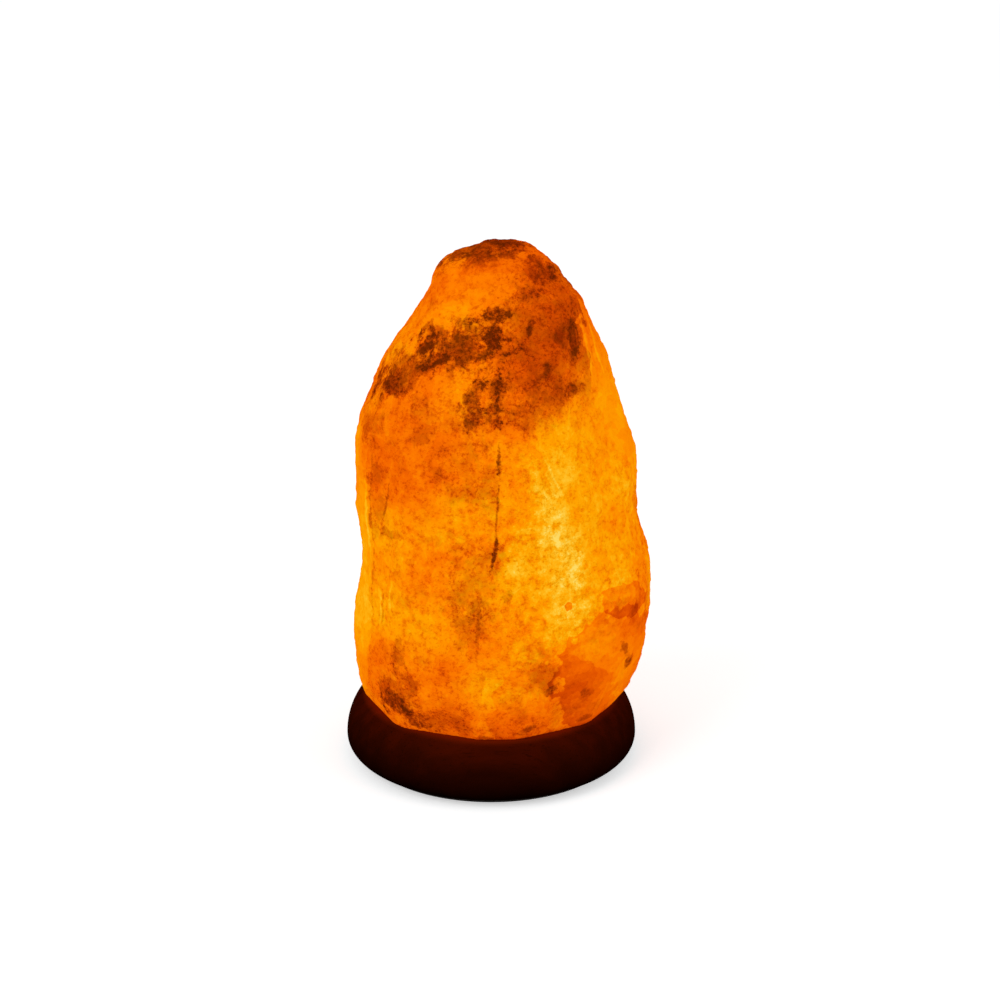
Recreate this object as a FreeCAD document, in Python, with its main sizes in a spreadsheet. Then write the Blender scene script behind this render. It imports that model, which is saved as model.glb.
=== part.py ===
"""Salt crystal lamp: a hewn block of rock salt on a turned wooden base, lit from inside.

The salt block stands on the flat top of the base and is held by three wood screws that pass up
through the base into plugs set in the salt. A lamp chamber is bored up into the block. A small
screw lampholder with its bulb is pushed up into it from below, and a spring clip with two wings
grips the bore of the base. The supply lead would leave through a slot under the base, to the rear.

Lengths are in millimetres. +Z is up, the front of the lamp faces -Y, and the origin is on the
surface that the lamp stands on, under the middle of the base.
"""

import FreeCAD, Part
import math
import os

import Sketcher

doc = FreeCAD.newDocument("salt_crystal_lamp")
sheet = doc.addObject("Spreadsheet::Sheet", "sizes")


class Size:
    """A length together with the spreadsheet expression that gives it."""

    def __init__(self, text, value):
        self.text = text
        self.value = value

    def joined(self, sign, other, value):
        return Size(f"({self.text} {sign} {as_size(other).text})", value)

    def __add__(self, other):
        return self.joined("+", other, self.value + as_size(other).value)

    def __sub__(self, other):
        return self.joined("-", other, self.value - as_size(other).value)

    def __mul__(self, other):
        return self.joined("*", other, self.value * as_size(other).value)

    def __truediv__(self, other):
        return self.joined("/", other, self.value / as_size(other).value)

    def __neg__(self):
        return Size(f"(0 - {self.text})", -self.value)


def as_size(number):
    """A plain number as a Size, for use in sums with sizes."""
    return number if isinstance(number, Size) else Size(repr(number), float(number))


def root_of(size):
    """The square root of a Size."""
    return Size(f"sqrt({size.text})", math.sqrt(size.value))


def size(name, value):
    """Writes a driving dimension into the next row of the spreadsheet."""
    size.row += 1
    sheet.set(f"A{size.row}", name)
    sheet.set(f"B{size.row}", str(value))
    sheet.setAlias(f"B{size.row}", name)
    return Size(f"sizes.{name}", value)


size.row = 0

# The salt block: its height above the base, its furthest reach each way from the base's axis,
# and how deep the axe took off each hewn facet.
rock_height = size("rock_height", 199.0)
rock_left = size("rock_left", 58.7)
rock_right = size("rock_right", 68.6)
rock_front = size("rock_front", 57.0)
rock_back = size("rock_back", 54.0)
facet_depth = size("facet_depth", 3.2)
chamber_radius = size("chamber_radius", 25.0)
chamber_depth = size("chamber_depth", 90.0)
chamber_end_radius = size("chamber_end_radius", 14.0)
bit_overrun = size("bit_overrun", 1.0)

# The turned base and the felt ring under it.
base_thickness = size("base_thickness", 25.5)
base_radius = size("base_radius", 62.5)
base_widest_height = size("base_widest_height", 6.5)
base_top_inset = size("base_top_inset", 8.0)
base_edge_round = size("base_edge_round", 3.5)
base_bore_radius = size("base_bore_radius", 23.0)
slot_width = size("slot_width", 9.0)
slot_depth = size("slot_depth", 9.0)
felt_thickness = size("felt_thickness", 2.0)
felt_inset = size("felt_inset", 7.5)
felt_width = size("felt_width", 10.0)

# The screws that hold the block, and their plugs.
screw_circle = size("screw_circle", 35.5)
screw_radius = size("screw_radius", 2.0)
screw_length = size("screw_length", 36.0)
screw_point = size("screw_point", 4.0)
screw_head_radius = size("screw_head_radius", 4.0)
screw_head_height = size("screw_head_height", 2.4)
screw_recess = size("screw_recess", 1.4)
counterbore_radius = size("counterbore_radius", 5.0)
counterbore_depth = size("counterbore_depth", 11.0)
plug_radius = size("plug_radius", 3.5)
plug_length = size("plug_length", 24.0)
plug_end = size("plug_end", 2.0)
fit_gap = size("fit_gap", 0.05)
SCREWS = 3

# The lampholder, from the threaded nipple that clamps the clip to the lip round the bulb.
holder_height = size("holder_height", 12.0)
nipple_radius = size("nipple_radius", 5.0)
nipple_bore_radius = size("nipple_bore_radius", 3.5)
nipple_length = size("nipple_length", 8.7)
nut_across_flats = size("nut_across_flats", 14.0)
nut_thickness = size("nut_thickness", 3.0)
nut_setback = size("nut_setback", 1.2)
clip_thickness = size("clip_thickness", 0.8)
clip_width = size("clip_width", 12.0)
clip_half_span = size("clip_half_span", 16.9)
bend_gap = size("bend_gap", 0.2)
wing_height = size("wing_height", 20.0)
wing_tip_reach = size("wing_tip_reach", 19.2)
wing_clearance = size("wing_clearance", 0.3)
holder_radius = size("holder_radius", 14.0)
holder_wall = size("holder_wall", 1.6)
cap_height = size("cap_height", 10.0)
cap_floor = size("cap_floor", 2.0)
boss_radius = size("boss_radius", 7.5)
shell_height = size("shell_height", 25.2)
spigot_depth = size("spigot_depth", 3.0)
spigot_wall = size("spigot_wall", 1.2)
lip_thickness = size("lip_thickness", 2.0)
lip_opening_radius = size("lip_opening_radius", 8.8)

# The contacts inside the lampholder.
insert_thickness = size("insert_thickness", 6.0)
insert_drop = size("insert_drop", 1.8)
block_length = size("block_length", 4.4)
block_width = size("block_width", 5.0)
block_reach = size("block_reach", 9.2)
boss_gap = size("boss_gap", 0.4)
terminal_radius = size("terminal_radius", 1.25)
terminal_head_radius = size("terminal_head_radius", 1.9)
terminal_head_height = size("terminal_head_height", 1.6)
rivet_radius = size("rivet_radius", 0.9)
rivet_head_radius = size("rivet_head_radius", 1.4)
rivet_head_height = size("rivet_head_height", 0.5)
side_rivet_reach = size("side_rivet_reach", 4.7)
flange_hole_radius = size("flange_hole_radius", 3.2)
flange_thickness = size("flange_thickness", 0.6)
contact_width = size("contact_width", 3.6)
contact_thickness = size("contact_thickness", 0.4)
contact_rise = size("contact_rise", 3.2)
contact_reach = size("contact_reach", 2.6)

# The small Edison screw, 14 mm, that the bulb's cap and the holder's shell share.
thread_pitch = size("thread_pitch", 2.822)
thread_root_radius = size("thread_root_radius", 6.1)
thread_round = size("thread_round", 0.8)
thread_gap = size("thread_gap", 0.14)
screw_shell_radius = size("screw_shell_radius", 7.7)
screw_shell_height = size("screw_shell_height", 18.0)
SHELL_THREAD_TURNS = 5.25
CAP_THREAD_TURNS = 3

# The bulb.
bulb_gap = size("bulb_gap", 0.1)
button_radius = size("button_radius", 2.3)
button_height = size("button_height", 0.8)
insulator_height = size("insulator_height", 2.2)
insulator_radius = size("insulator_radius", 5.6)
insulator_spigot = size("insulator_spigot", 1.0)
cap_bore_radius = size("cap_bore_radius", 5.1)
cap_thread_height = size("cap_thread_height", 11.8)
cap_total_height = size("cap_total_height", 15.4)
cap_collar_radius = size("cap_collar_radius", 6.9)
neck_radius = size("neck_radius", 6.2)
neck_sunk = size("neck_sunk", 3.0)
glass_wall = size("glass_wall", 0.7)
glass_radius = size("glass_radius", 13.0)
glass_height = size("glass_height", 42.6)
glass_waist_height = size("glass_waist_height", 8.0)
stem_height = size("stem_height", 20.0)
stem_pinch_radius = size("stem_pinch_radius", 2.2)
stem_flare_height = size("stem_flare_height", 6.0)
stem_rim = size("stem_rim", 1.0)
lead_radius = size("lead_radius", 0.25)
lead_height = size("lead_height", 9.0)
lead_spread = size("lead_spread", 6.0)
filament_radius = size("filament_radius", 0.3)
filament_rise = size("filament_rise", 2.5)

doc.recompute()

# Levels and radii that several pieces share.
base_top_radius = base_radius - base_top_inset
felt_outer_radius = base_radius - felt_inset
felt_inner_radius = felt_outer_radius - felt_width
base_under = felt_thickness
seat = base_under + base_thickness
plug_top = seat + plug_length
nut_under = holder_height + nut_setback
clip_under = nut_under + nut_thickness
cap_under = clip_under + clip_thickness
cap_top = cap_under + cap_height
shell_top = cap_top + shell_height
insert_under = cap_top - insert_drop
insert_top = insert_under + insert_thickness
nipple_top = holder_height + nipple_length
contact_top = insert_top + contact_rise
button_under = contact_top + bulb_gap
insulator_under = button_under + button_height
bulb_cap_under = insulator_under + insulator_height
bulb_cap_top = bulb_cap_under + cap_total_height
glass_under = bulb_cap_top - neck_sunk
glass_top = glass_under + glass_height


def origin_feature(body, role):
    """One of a body's own origin planes or axes."""
    return next(f for f in body.Origin.OriginFeatures if f.Role == role)


def new_body(label):
    body = doc.addObject("PartDesign::Body", label)
    body.Label = label
    return body


def new_sketch(body, role, height=None, across=None):
    """A sketch on one of the body's origin planes, raised off it or moved along its first axis."""
    sketch = body.newObject("Sketcher::SketchObject", f"{body.Name}_sketch")
    sketch.AttachmentSupport = (origin_feature(body, role), [""])
    sketch.MapMode = "FlatFace"
    if height is not None:
        sketch.setExpression("AttachmentOffset.Base.z", height.text)
    if across is not None:
        sketch.setExpression("AttachmentOffset.Base.x", across.text)
    return sketch


def hold(sketch, kind, *where):
    """Adds a dimension whose last value is a Size, and ties it to the spreadsheet."""
    *points, length = where
    number = sketch.addConstraint(Sketcher.Constraint(kind, *points, length.value))
    sketch.setExpression(f"Constraints[{number}]", length.text)


def hold_point(sketch, edge, end, point):
    """Holds one end of an edge at a point, given as two sizes from the sketch's origin."""
    for kind, axis, length in zip(("DistanceX", "DistanceY"), (-2, -1), point):
        length = as_size(length)
        if length.text == "0":
            sketch.addConstraint(Sketcher.Constraint("PointOnObject", edge, end, axis))
        else:
            hold(sketch, kind, -1, 1, edge, end, length)


def arc_between(start, end, radius):
    """The shorter arc from start to end. A positive radius bulges to the right of the way it runs."""
    chord = end - start
    middle = (start + end) * 0.5
    to_centre = math.sqrt(max(radius**2 - (chord.Length / 2) ** 2, 0.0))
    left = FreeCAD.Vector(-chord.y, chord.x, 0).normalize() * math.copysign(1.0, radius)
    centre = middle + left * to_centre
    crown = centre - left * abs(radius)
    return Part.Arc(start, crown, end)


def draw_outline(sketch, points, arcs=None):
    """A closed outline through points, each a pair of sizes. arcs gives the radius of a round
    stretch by the number of the point where it starts."""
    arcs = arcs or {}
    corners = [FreeCAD.Vector(as_size(x).value, as_size(y).value, 0) for x, y in points]
    ends = []
    for number, start in enumerate(corners):
        end = corners[(number + 1) % len(corners)]
        if number in arcs:
            sketch.addGeometry(arc_between(start, end, arcs[number].value))
            drawn = sketch.Geometry[number]
            forward = (drawn.StartPoint - start).Length < (drawn.EndPoint - start).Length
            ends.append((1, 2) if forward else (2, 1))
        else:
            sketch.addGeometry(Part.LineSegment(start, end))
            ends.append((1, 2))
    for number, point in enumerate(points):
        following = (number + 1) % len(points)
        join = (number, ends[number][1], following, ends[following][0])
        sketch.addConstraint(Sketcher.Constraint("Coincident", *join))
        hold_point(sketch, number, ends[number][0], point)
    for number, radius in arcs.items():
        outward = radius if radius.value > 0 else -radius
        hold(sketch, "Radius", number, outward)


def revolve(body, sketch, cut=False):
    """Turns a sketch of the XZ plane about its vertical axis."""
    kind = "PartDesign::Groove" if cut else "PartDesign::Revolution"
    feature = body.newObject(kind, f"{body.Name}_turn")
    feature.Profile = sketch
    feature.ReferenceAxis = (sketch, ["V_Axis"])
    feature.Angle = 360
    return feature


def turned(label, points, arcs=None, across=None):
    """A body turned from an outline of radii and heights."""
    body = new_body(label)
    sketch = new_sketch(body, "XZ_Plane", across=across)
    draw_outline(sketch, points, arcs)
    revolve(body, sketch)
    return body


def extrude(body, sketch, length, cut=False, middle=False, reverse=False):
    """Pads or pockets a sketch by a Size."""
    kind = "PartDesign::Pocket" if cut else "PartDesign::Pad"
    feature = body.newObject(kind, f"{body.Name}_extrude")
    feature.Profile = sketch
    feature.setExpression("Length", length.text)
    feature.Reversed = reverse
    if middle:
        feature.SideType = "Symmetric"
    return feature


def ring_of(body, features, count):
    """Repeats features round the body's vertical axis, and makes the ring the body's result."""
    ring = body.newObject("PartDesign::PolarPattern", f"{body.Name}_ring")
    ring.Originals = features
    ring.Axis = (origin_feature(body, "Z_Axis"), [""])
    ring.Angle = 360
    ring.Occurrences = count
    body.Tip = ring
    return ring


def circle_at(sketch, x, radius, number=0):
    """A circle with its centre on the sketch's first axis."""
    place = FreeCAD.Vector(as_size(x).value, 0, 0)
    sketch.addGeometry(Part.Circle(place, FreeCAD.Vector(0, 0, 1), radius.value))
    hold_point(sketch, number, 3, (x, 0))
    hold(sketch, "Radius", number, radius)


def block_outline(low_x, high_x, low_y, high_y):
    """The corners of a rectangle."""
    return [(low_x, low_y), (high_x, low_y), (high_x, high_y), (low_x, high_y)]


# ---- The turned base and its felt ring ---------------------------------------------------------

def make_wood_base():
    """A turned disc, widest near its foot, with the lamp's bore, screw holes and a lead slot."""
    widest = base_under + base_widest_height
    foot_radius = base_radius - base_widest_height
    rise = base_thickness - base_widest_height
    inset = base_top_inset
    side_radius = (rise * rise + inset * inset) / (inset * 2)
    outline = [
        (base_bore_radius, base_under),
        (foot_radius, base_under),
        (base_radius, widest),
        (base_top_radius, seat),
        (base_bore_radius, seat),
    ]
    body = turned("wood_base", outline, {1: base_widest_height, 2: side_radius})
    disc = body.Tip
    doc.recompute()
    edges = [
        f"Edge{number}"
        for number, edge in enumerate(disc.Shape.Edges, 1)
        if edge.Curve.TypeId == "Part::GeomCircle"
        and abs(edge.Curve.Center.z - seat.value) < 1e-6
        and abs(edge.Curve.Radius - base_top_radius.value) < 1e-6
    ]
    softened = body.newObject("PartDesign::Fillet", "wood_base_edge")
    softened.Base = (disc, edges)
    softened.setExpression("Radius", base_edge_round.text)

    slot = new_sketch(body, "XY_Plane", height=base_under)
    half = slot_width / 2
    draw_outline(slot, block_outline(-half, half, as_size(0), base_radius + slot_depth))
    extrude(body, slot, slot_depth, cut=True, reverse=True)

    seat_hole = new_sketch(body, "XY_Plane", height=base_under)
    circle_at(seat_hole, screw_circle, counterbore_radius)
    counterbore = extrude(body, seat_hole, counterbore_depth, cut=True, reverse=True)
    way_hole = new_sketch(body, "XY_Plane", height=base_under)
    circle_at(way_hole, screw_circle, screw_radius + fit_gap)
    through = extrude(body, way_hole, base_thickness, cut=True, reverse=True)
    ring_of(body, [counterbore, through], SCREWS)
    return body


def make_felt_ring():
    """A flat felt ring glued under the base, cut through where the lead leaves."""
    body = new_body("felt_ring")
    sketch = new_sketch(body, "XY_Plane")
    circle_at(sketch, 0, felt_outer_radius)
    circle_at(sketch, 0, felt_inner_radius, 1)
    extrude(body, sketch, felt_thickness)
    gap = new_sketch(body, "XY_Plane")
    half = slot_width / 2
    draw_outline(gap, block_outline(-half, half, as_size(0), felt_outer_radius + slot_depth))
    extrude(body, gap, felt_thickness, cut=True, reverse=True)
    return body


# ---- The salt block ----------------------------------------------------------------------------

# The block's natural form, level by level: the share of its height, then the share of its
# furthest reach to the left, right, front and back.
ROCK_LEVELS = [
    (0.000, 0.925, 0.775, 0.915, 0.900),
    (0.032, 0.955, 0.855, 0.950, 0.940),
    (0.100, 0.988, 0.940, 0.980, 0.970),
    (0.165, 0.998, 0.975, 0.995, 0.990),
    (0.250, 0.960, 0.995, 1.000, 1.000),
    (0.320, 0.932, 0.975, 0.985, 0.995),
    (0.390, 0.942, 0.912, 0.955, 0.975),
    (0.480, 0.965, 0.885, 0.925, 0.955),
    (0.547, 0.970, 0.885, 0.900, 0.930),
    (0.626, 0.938, 0.820, 0.850, 0.880),
    (0.700, 0.838, 0.752, 0.780, 0.800),
    (0.788, 0.685, 0.664, 0.665, 0.690),
    (0.850, 0.535, 0.592, 0.560, 0.580),
    (0.916, 0.405, 0.495, 0.440, 0.450),
    (0.962, 0.280, 0.375, 0.320, 0.320),
    (1.000, 0.050, 0.205, 0.110, 0.120),
]

# The hewn facets: the way each faces, in degrees round from +X and up from level, and its share
# of the facet depth.
ROCK_FACETS = [
    (-38, 17, 1.0),
    (-142, 4, 0.8),
    (-88, 30, 1.0),
    (-62, -16, 0.8),
    (-110, -20, 0.7),
    (-122, 34, 0.8),
    (-52, 44, 0.8),
    (-98, 6, 0.6),
    (-30, -22, 0.7),
    (-156, -24, 0.7),
    (-80, 62, 0.4),
    (34, 12, 1.1),
    (92, 20, 1.3),
    (100, -12, 0.8),
    (158, 10, 1.1),
    (10, 46, 0.8),
    (62, 42, 0.8),
    (126, 38, 0.9),
    (52, -24, 0.8),
    (140, -22, 0.8),
    (70, 2, 0.7),
    (118, 4, 0.7),
]
SQUARENESS = 2.25
POINTS_ROUND = 20
# The swell of the natural skin: its share of the reach, and how it winds round and up the block.
LUMPS = [(0.020, 3, 9.0, 0.0), (0.015, 5, -17.0, 0.8), (0.012, 4, 26.0, 2.1)]


def rock_section(share, left, right, front, back):
    """One level of the block: a closed smooth outline, a little squarer than an ellipse."""
    height = seat.value + share * rock_height.value
    points = []
    for step in range(POINTS_ROUND):
        turn = 2 * math.pi * step / POINTS_ROUND
        across, along = math.cos(turn), math.sin(turn)
        swell = sum(rise * math.sin(times * turn + wind * share + lag) for rise, times, wind, lag in LUMPS)
        lump = 1 + swell * (1 - abs(across))
        x_reach = right * rock_right.value if across > 0 else left * rock_left.value
        y_reach = back * rock_back.value if along > 0 else front * rock_front.value
        x = math.copysign(abs(across) ** (2 / SQUARENESS), across) * x_reach * lump
        y = math.copysign(abs(along) ** (2 / SQUARENESS), along) * y_reach * lump
        points.append(FreeCAD.Vector(x, y, height))
    curve = Part.BSplineCurve()
    curve.interpolate(Points=points, PeriodicFlag=True)
    return Part.Wire([curve.toShape()]), points


def facet_waste(points, azimuth, tilt, share):
    """The slab of salt that one axe cut takes off, as a box that lies along the facet."""
    turn, lift = math.radians(azimuth), math.radians(tilt)
    facing = FreeCAD.Vector(
        math.cos(lift) * math.cos(turn), math.cos(lift) * math.sin(turn), math.sin(lift)
    )
    furthest = max(points, key=facing.dot)
    reach = furthest.dot(facing) - share * facet_depth.value
    side = rock_height.value * 2
    corner = FreeCAD.Vector(-side / 2, -side / 2, 0)
    waste = Part.makeBox(side, side, side, corner)
    middle = furthest + facing * (reach - furthest.dot(facing))
    waste.Placement = FreeCAD.Placement(middle, FreeCAD.Rotation(FreeCAD.Vector(0, 0, 1), facing))
    return waste


def make_salt_crystal():
    """The hewn block, bored for the lamp from below and drilled for the screw plugs."""
    sections = [rock_section(*level) for level in ROCK_LEVELS]
    blank = Part.makeLoft([wire for wire, _ in sections], True, False)
    points = [point for _, ring in sections for point in ring]
    hewn = blank.cut([facet_waste(points, *facet) for facet in ROCK_FACETS])
    block = doc.addObject("Part::Feature", "hewn_block")
    block.Shape = hewn

    chamber_top = seat + chamber_depth
    bit = turned(
        "boring_bits",
        [
            (as_size(0), seat - bit_overrun),
            (chamber_radius, seat - bit_overrun),
            (chamber_radius, chamber_top - chamber_end_radius),
            (chamber_radius - chamber_end_radius, chamber_top),
            (as_size(0), chamber_top),
        ],
        {2: chamber_end_radius},
    )
    hole = new_sketch(bit, "XY_Plane", height=seat - bit_overrun)
    circle_at(hole, screw_circle, plug_radius + fit_gap)
    drilled = extrude(bit, hole, plug_length + fit_gap + bit_overrun)
    ring_of(bit, [drilled], SCREWS)

    crystal = doc.addObject("Part::Cut", "salt_crystal")
    crystal.Label = "salt_crystal"
    crystal.Base = block
    crystal.Tool = bit
    return crystal


# ---- The fixings of the block ------------------------------------------------------------------

def make_rock_plugs():
    """Three nylon plugs set in the salt, each bored for its screw."""
    bore = screw_radius + fit_gap
    screw_end = base_under + counterbore_depth + screw_length
    outline = [
        (bore, seat),
        (plug_radius, seat),
        (plug_radius, plug_top - plug_end),
        (plug_radius - plug_end / 2, plug_top),
        (as_size(0), plug_top),
        (as_size(0), screw_end + fit_gap),
        (bore, screw_end + fit_gap),
    ]
    body = turned("rock_plugs", outline, across=screw_circle)
    ring_of(body, [body.Tip], SCREWS)
    return body


def make_rock_screws():
    """Three round-headed wood screws, with a cross recess, up through the base into the plugs."""
    head_top = base_under + counterbore_depth
    tip = head_top + screw_length
    outline = [
        (as_size(0), head_top - screw_head_height),
        (screw_head_radius - screw_head_height / 2, head_top - screw_head_height),
        (screw_head_radius, head_top),
        (screw_radius, head_top),
        (screw_radius, tip - screw_point),
        (as_size(0), tip),
    ]
    body = turned("rock_screws", outline, {1: screw_head_height * 1.3}, across=screw_circle)
    turned_screw = body.Tip
    cross = new_sketch(body, "XY_Plane", height=head_top - screw_head_height, across=screw_circle)
    long_half = screw_head_radius * 0.55
    short_half = screw_head_radius * 0.12
    arm = block_outline(-long_half, long_half, -short_half, short_half)
    draw_outline(cross, arm)
    first = extrude(body, cross, screw_recess, cut=True, reverse=True)
    cross_arm = new_sketch(body, "XY_Plane", height=head_top - screw_head_height, across=screw_circle)
    draw_outline(cross_arm, block_outline(-short_half, short_half, -long_half, long_half))
    second = extrude(body, cross_arm, screw_recess, cut=True, reverse=True)
    ring_of(body, [turned_screw, first, second], SCREWS)
    return body


# ---- The clip and the nipple that clamps it ----------------------------------------------------

def make_nipple():
    """The threaded tube that the lead enters by, shown with its thread as a plain cylinder."""
    outline = [
        (nipple_bore_radius, holder_height),
        (nipple_radius, holder_height),
        (nipple_radius, nipple_top),
        (nipple_bore_radius, nipple_top),
    ]
    return turned("nipple", outline)


def make_nipple_nut():
    """A thin hexagon nut that pulls the clip up against the holder."""
    body = new_body("nipple_nut")
    sketch = new_sketch(body, "XY_Plane", height=nut_under)
    corner = nut_across_flats / 1.7320508
    half_side = corner / 2
    half = nut_across_flats / 2
    hexagon = [
        (corner, as_size(0)),
        (half_side, half),
        (-half_side, half),
        (-corner, as_size(0)),
        (-half_side, -half),
        (half_side, -half),
    ]
    draw_outline(sketch, hexagon)
    circle_at(sketch, 0, nipple_radius + fit_gap, 6)
    extrude(body, sketch, nut_thickness)
    return body


def make_clip_saddle():
    """The flat middle of the spring clip, clamped under the holder."""
    body = new_body("clip_saddle")
    sketch = new_sketch(body, "XY_Plane", height=clip_under)
    half = clip_width / 2
    draw_outline(sketch, block_outline(-clip_half_span, clip_half_span, -half, half))
    circle_at(sketch, 0, nipple_radius + fit_gap, 4)
    extrude(body, sketch, clip_thickness)
    return body


def make_clip_wing(label, side):
    """One bowed wing of the spring clip. side is 1 for the right wing and -1 for the left."""
    root = clip_half_span + bend_gap
    wall = base_bore_radius - wing_clearance
    half = clip_width / 2
    reach = root_of(wall * wall - half * half)
    tip = cap_under + wing_height
    crown_low = cap_under + wing_height * 0.42
    crown_high = cap_under + wing_height * 0.54
    bow = [
        (root, clip_under),
        (root + clip_thickness, clip_under),
        (reach, crown_low),
        (reach, crown_high),
        (wing_tip_reach, tip),
        (wing_tip_reach - clip_thickness, tip),
        (reach - clip_thickness, crown_high),
        (reach - clip_thickness, crown_low),
        (root, cap_under),
    ]
    if side < 0:
        bow = [(-x, z) for x, z in bow]
    body = new_body(label)
    sketch = new_sketch(body, "XZ_Plane")
    draw_outline(sketch, bow)
    extrude(body, sketch, clip_width, middle=True)
    return body


# ---- The lampholder ----------------------------------------------------------------------------

def make_holder_cap():
    """The holder's lower cup, with a boss that takes the nipple."""
    inner = holder_radius - holder_wall
    bore = nipple_radius + fit_gap
    outline = [
        (bore, cap_under),
        (holder_radius, cap_under),
        (holder_radius, cap_top),
        (inner, cap_top),
        (inner, cap_under + cap_floor),
        (boss_radius, cap_under + cap_floor),
        (boss_radius, nipple_top),
        (bore, nipple_top),
    ]
    return turned("holder_cap", outline)


def make_holder_shell():
    """The holder's upper shell, with a spigot down into the cap and a lip round the bulb's cap."""
    spigot_outer = holder_radius - holder_wall - fit_gap
    spigot_inner = spigot_outer - spigot_wall
    outline = [
        (spigot_inner, cap_top - spigot_depth),
        (spigot_outer, cap_top - spigot_depth),
        (spigot_outer, cap_top),
        (holder_radius, cap_top),
        (holder_radius, shell_top),
        (lip_opening_radius, shell_top),
        (lip_opening_radius, shell_top - lip_thickness),
        (spigot_inner, shell_top - lip_thickness),
    ]
    return turned("holder_shell", outline)


def make_contact_insert():
    """The moulded disc inside the shell that carries the contacts, with its three rivet holes."""
    rim = holder_radius - holder_wall - fit_gap - spigot_wall - fit_gap
    outline = [
        (as_size(0), insert_under),
        (rim, insert_under),
        (rim, insert_top),
        (as_size(0), insert_top),
    ]
    body = turned("contact_insert", outline)
    for place in (as_size(0), side_rivet_reach, -side_rivet_reach):
        sketch = new_sketch(body, "XY_Plane", height=insert_under)
        circle_at(sketch, place, rivet_radius + fit_gap)
        extrude(body, sketch, insert_thickness, cut=True, reverse=True)
    return body


def make_terminal_blocks():
    """Two brass blocks under the insert, each with a hole for its screw."""
    body = new_body("terminal_blocks")
    low = insert_under - block_length
    near = block_reach - block_length
    half = block_width / 2
    right = new_sketch(body, "XY_Plane", height=low)
    draw_outline(right, block_outline(near, block_reach, -half, half))
    pad = extrude(body, right, block_length)
    hole = new_sketch(body, "YZ_Plane", height=near + block_length / 2)
    place = FreeCAD.Vector(0, insert_under.value - block_length.value / 2, 0)
    hole.addGeometry(Part.Circle(place, FreeCAD.Vector(0, 0, 1), terminal_radius.value))
    hold_point(hole, 0, 3, (0, insert_under - block_length / 2))
    hold(hole, "Radius", 0, terminal_radius + fit_gap)
    bored = extrude(body, hole, block_length, cut=True, reverse=True)
    ring_of(body, [pad, bored], 2)
    return body


def make_terminal_screws():
    """Two cheese-headed screws, one in the outer side of each terminal block."""
    body = new_body("terminal_screws")
    middle = insert_under - block_length / 2
    shank_start = block_reach - block_length / 2 + fit_gap
    head_start = block_reach + fit_gap
    sketch = new_sketch(body, "XZ_Plane")
    outline = [
        (shank_start, middle),
        (head_start + terminal_head_height, middle),
        (head_start + terminal_head_height, middle + terminal_head_radius),
        (head_start, middle + terminal_head_radius),
        (head_start, middle + terminal_radius),
        (shank_start, middle + terminal_radius),
    ]
    draw_outline(sketch, outline)
    turn = body.newObject("PartDesign::Revolution", "terminal_screw_turn")
    turn.Profile = sketch
    turn.ReferenceAxis = (sketch, ["Edge1"])
    turn.Angle = 360
    ring_of(body, [turn], 2)
    return body


def make_contact_rivets():
    """Three rivets through the insert, one for the centre contact and two for the screw shell."""
    body = new_body("contact_rivets")
    places = [
        (as_size(0), contact_thickness),
        (side_rivet_reach, flange_thickness),
        (-side_rivet_reach, flange_thickness),
    ]
    for place, held in places:
        sketch = new_sketch(body, "XZ_Plane", across=place)
        head_under = insert_top + held
        outline = [
            (as_size(0), insert_under),
            (rivet_radius, insert_under),
            (rivet_radius, head_under),
            (rivet_head_radius, head_under),
            (rivet_head_radius, head_under + rivet_head_height),
            (as_size(0), head_under + rivet_head_height),
        ]
        draw_outline(sketch, outline)
        revolve(body, sketch)
    return body


def make_centre_contact():
    """A folded strip of spring brass that presses up on the bulb's contact."""
    body = new_body("centre_contact")
    foot = insert_top
    inner_low = foot + contact_thickness
    inner_high = contact_top - contact_thickness
    inside = contact_reach - contact_thickness
    sketch = new_sketch(body, "XZ_Plane")
    strip = [
        (-contact_reach, foot),
        (contact_reach, foot),
        (contact_reach, contact_top),
        (-contact_reach, contact_top),
        (-contact_reach, inner_high),
        (inside, inner_high),
        (inside, inner_low),
        (-contact_reach, inner_low),
    ]
    draw_outline(sketch, strip)
    extrude(body, sketch, contact_width, middle=True)
    doc.recompute()
    hole = new_sketch(body, "XY_Plane", height=foot)
    circle_at(hole, 0, rivet_radius + fit_gap)
    extrude(body, hole, contact_thickness * 1.5, cut=True, reverse=True)
    return body


# ---- The Edison screw --------------------------------------------------------------------------

def thread_coil(label, radius, start, height):
    """A round-section coil on the thread's line, from a height up."""
    helix = doc.addObject("Part::Helix", f"{label}_line")
    helix.setExpression("Pitch", thread_pitch.text)
    helix.setExpression("Height", height.text)
    helix.setExpression("Radius", thread_root_radius.text)
    helix.setExpression("Placement.Base.z", start.text)
    ring = doc.addObject("Part::Circle", f"{label}_round")
    ring.setExpression("Radius", radius.text)
    ring.setExpression("Placement.Base.x", thread_root_radius.text)
    ring.setExpression("Placement.Base.z", start.text)
    ring.Placement.Rotation = FreeCAD.Rotation(FreeCAD.Vector(1, 0, 0), 90)
    coil = doc.addObject("Part::Sweep", f"{label}_coil")
    coil.Sections = [ring]
    coil.Spine = (helix, [])
    coil.Solid = True
    coil.Frenet = True
    return coil


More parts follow.
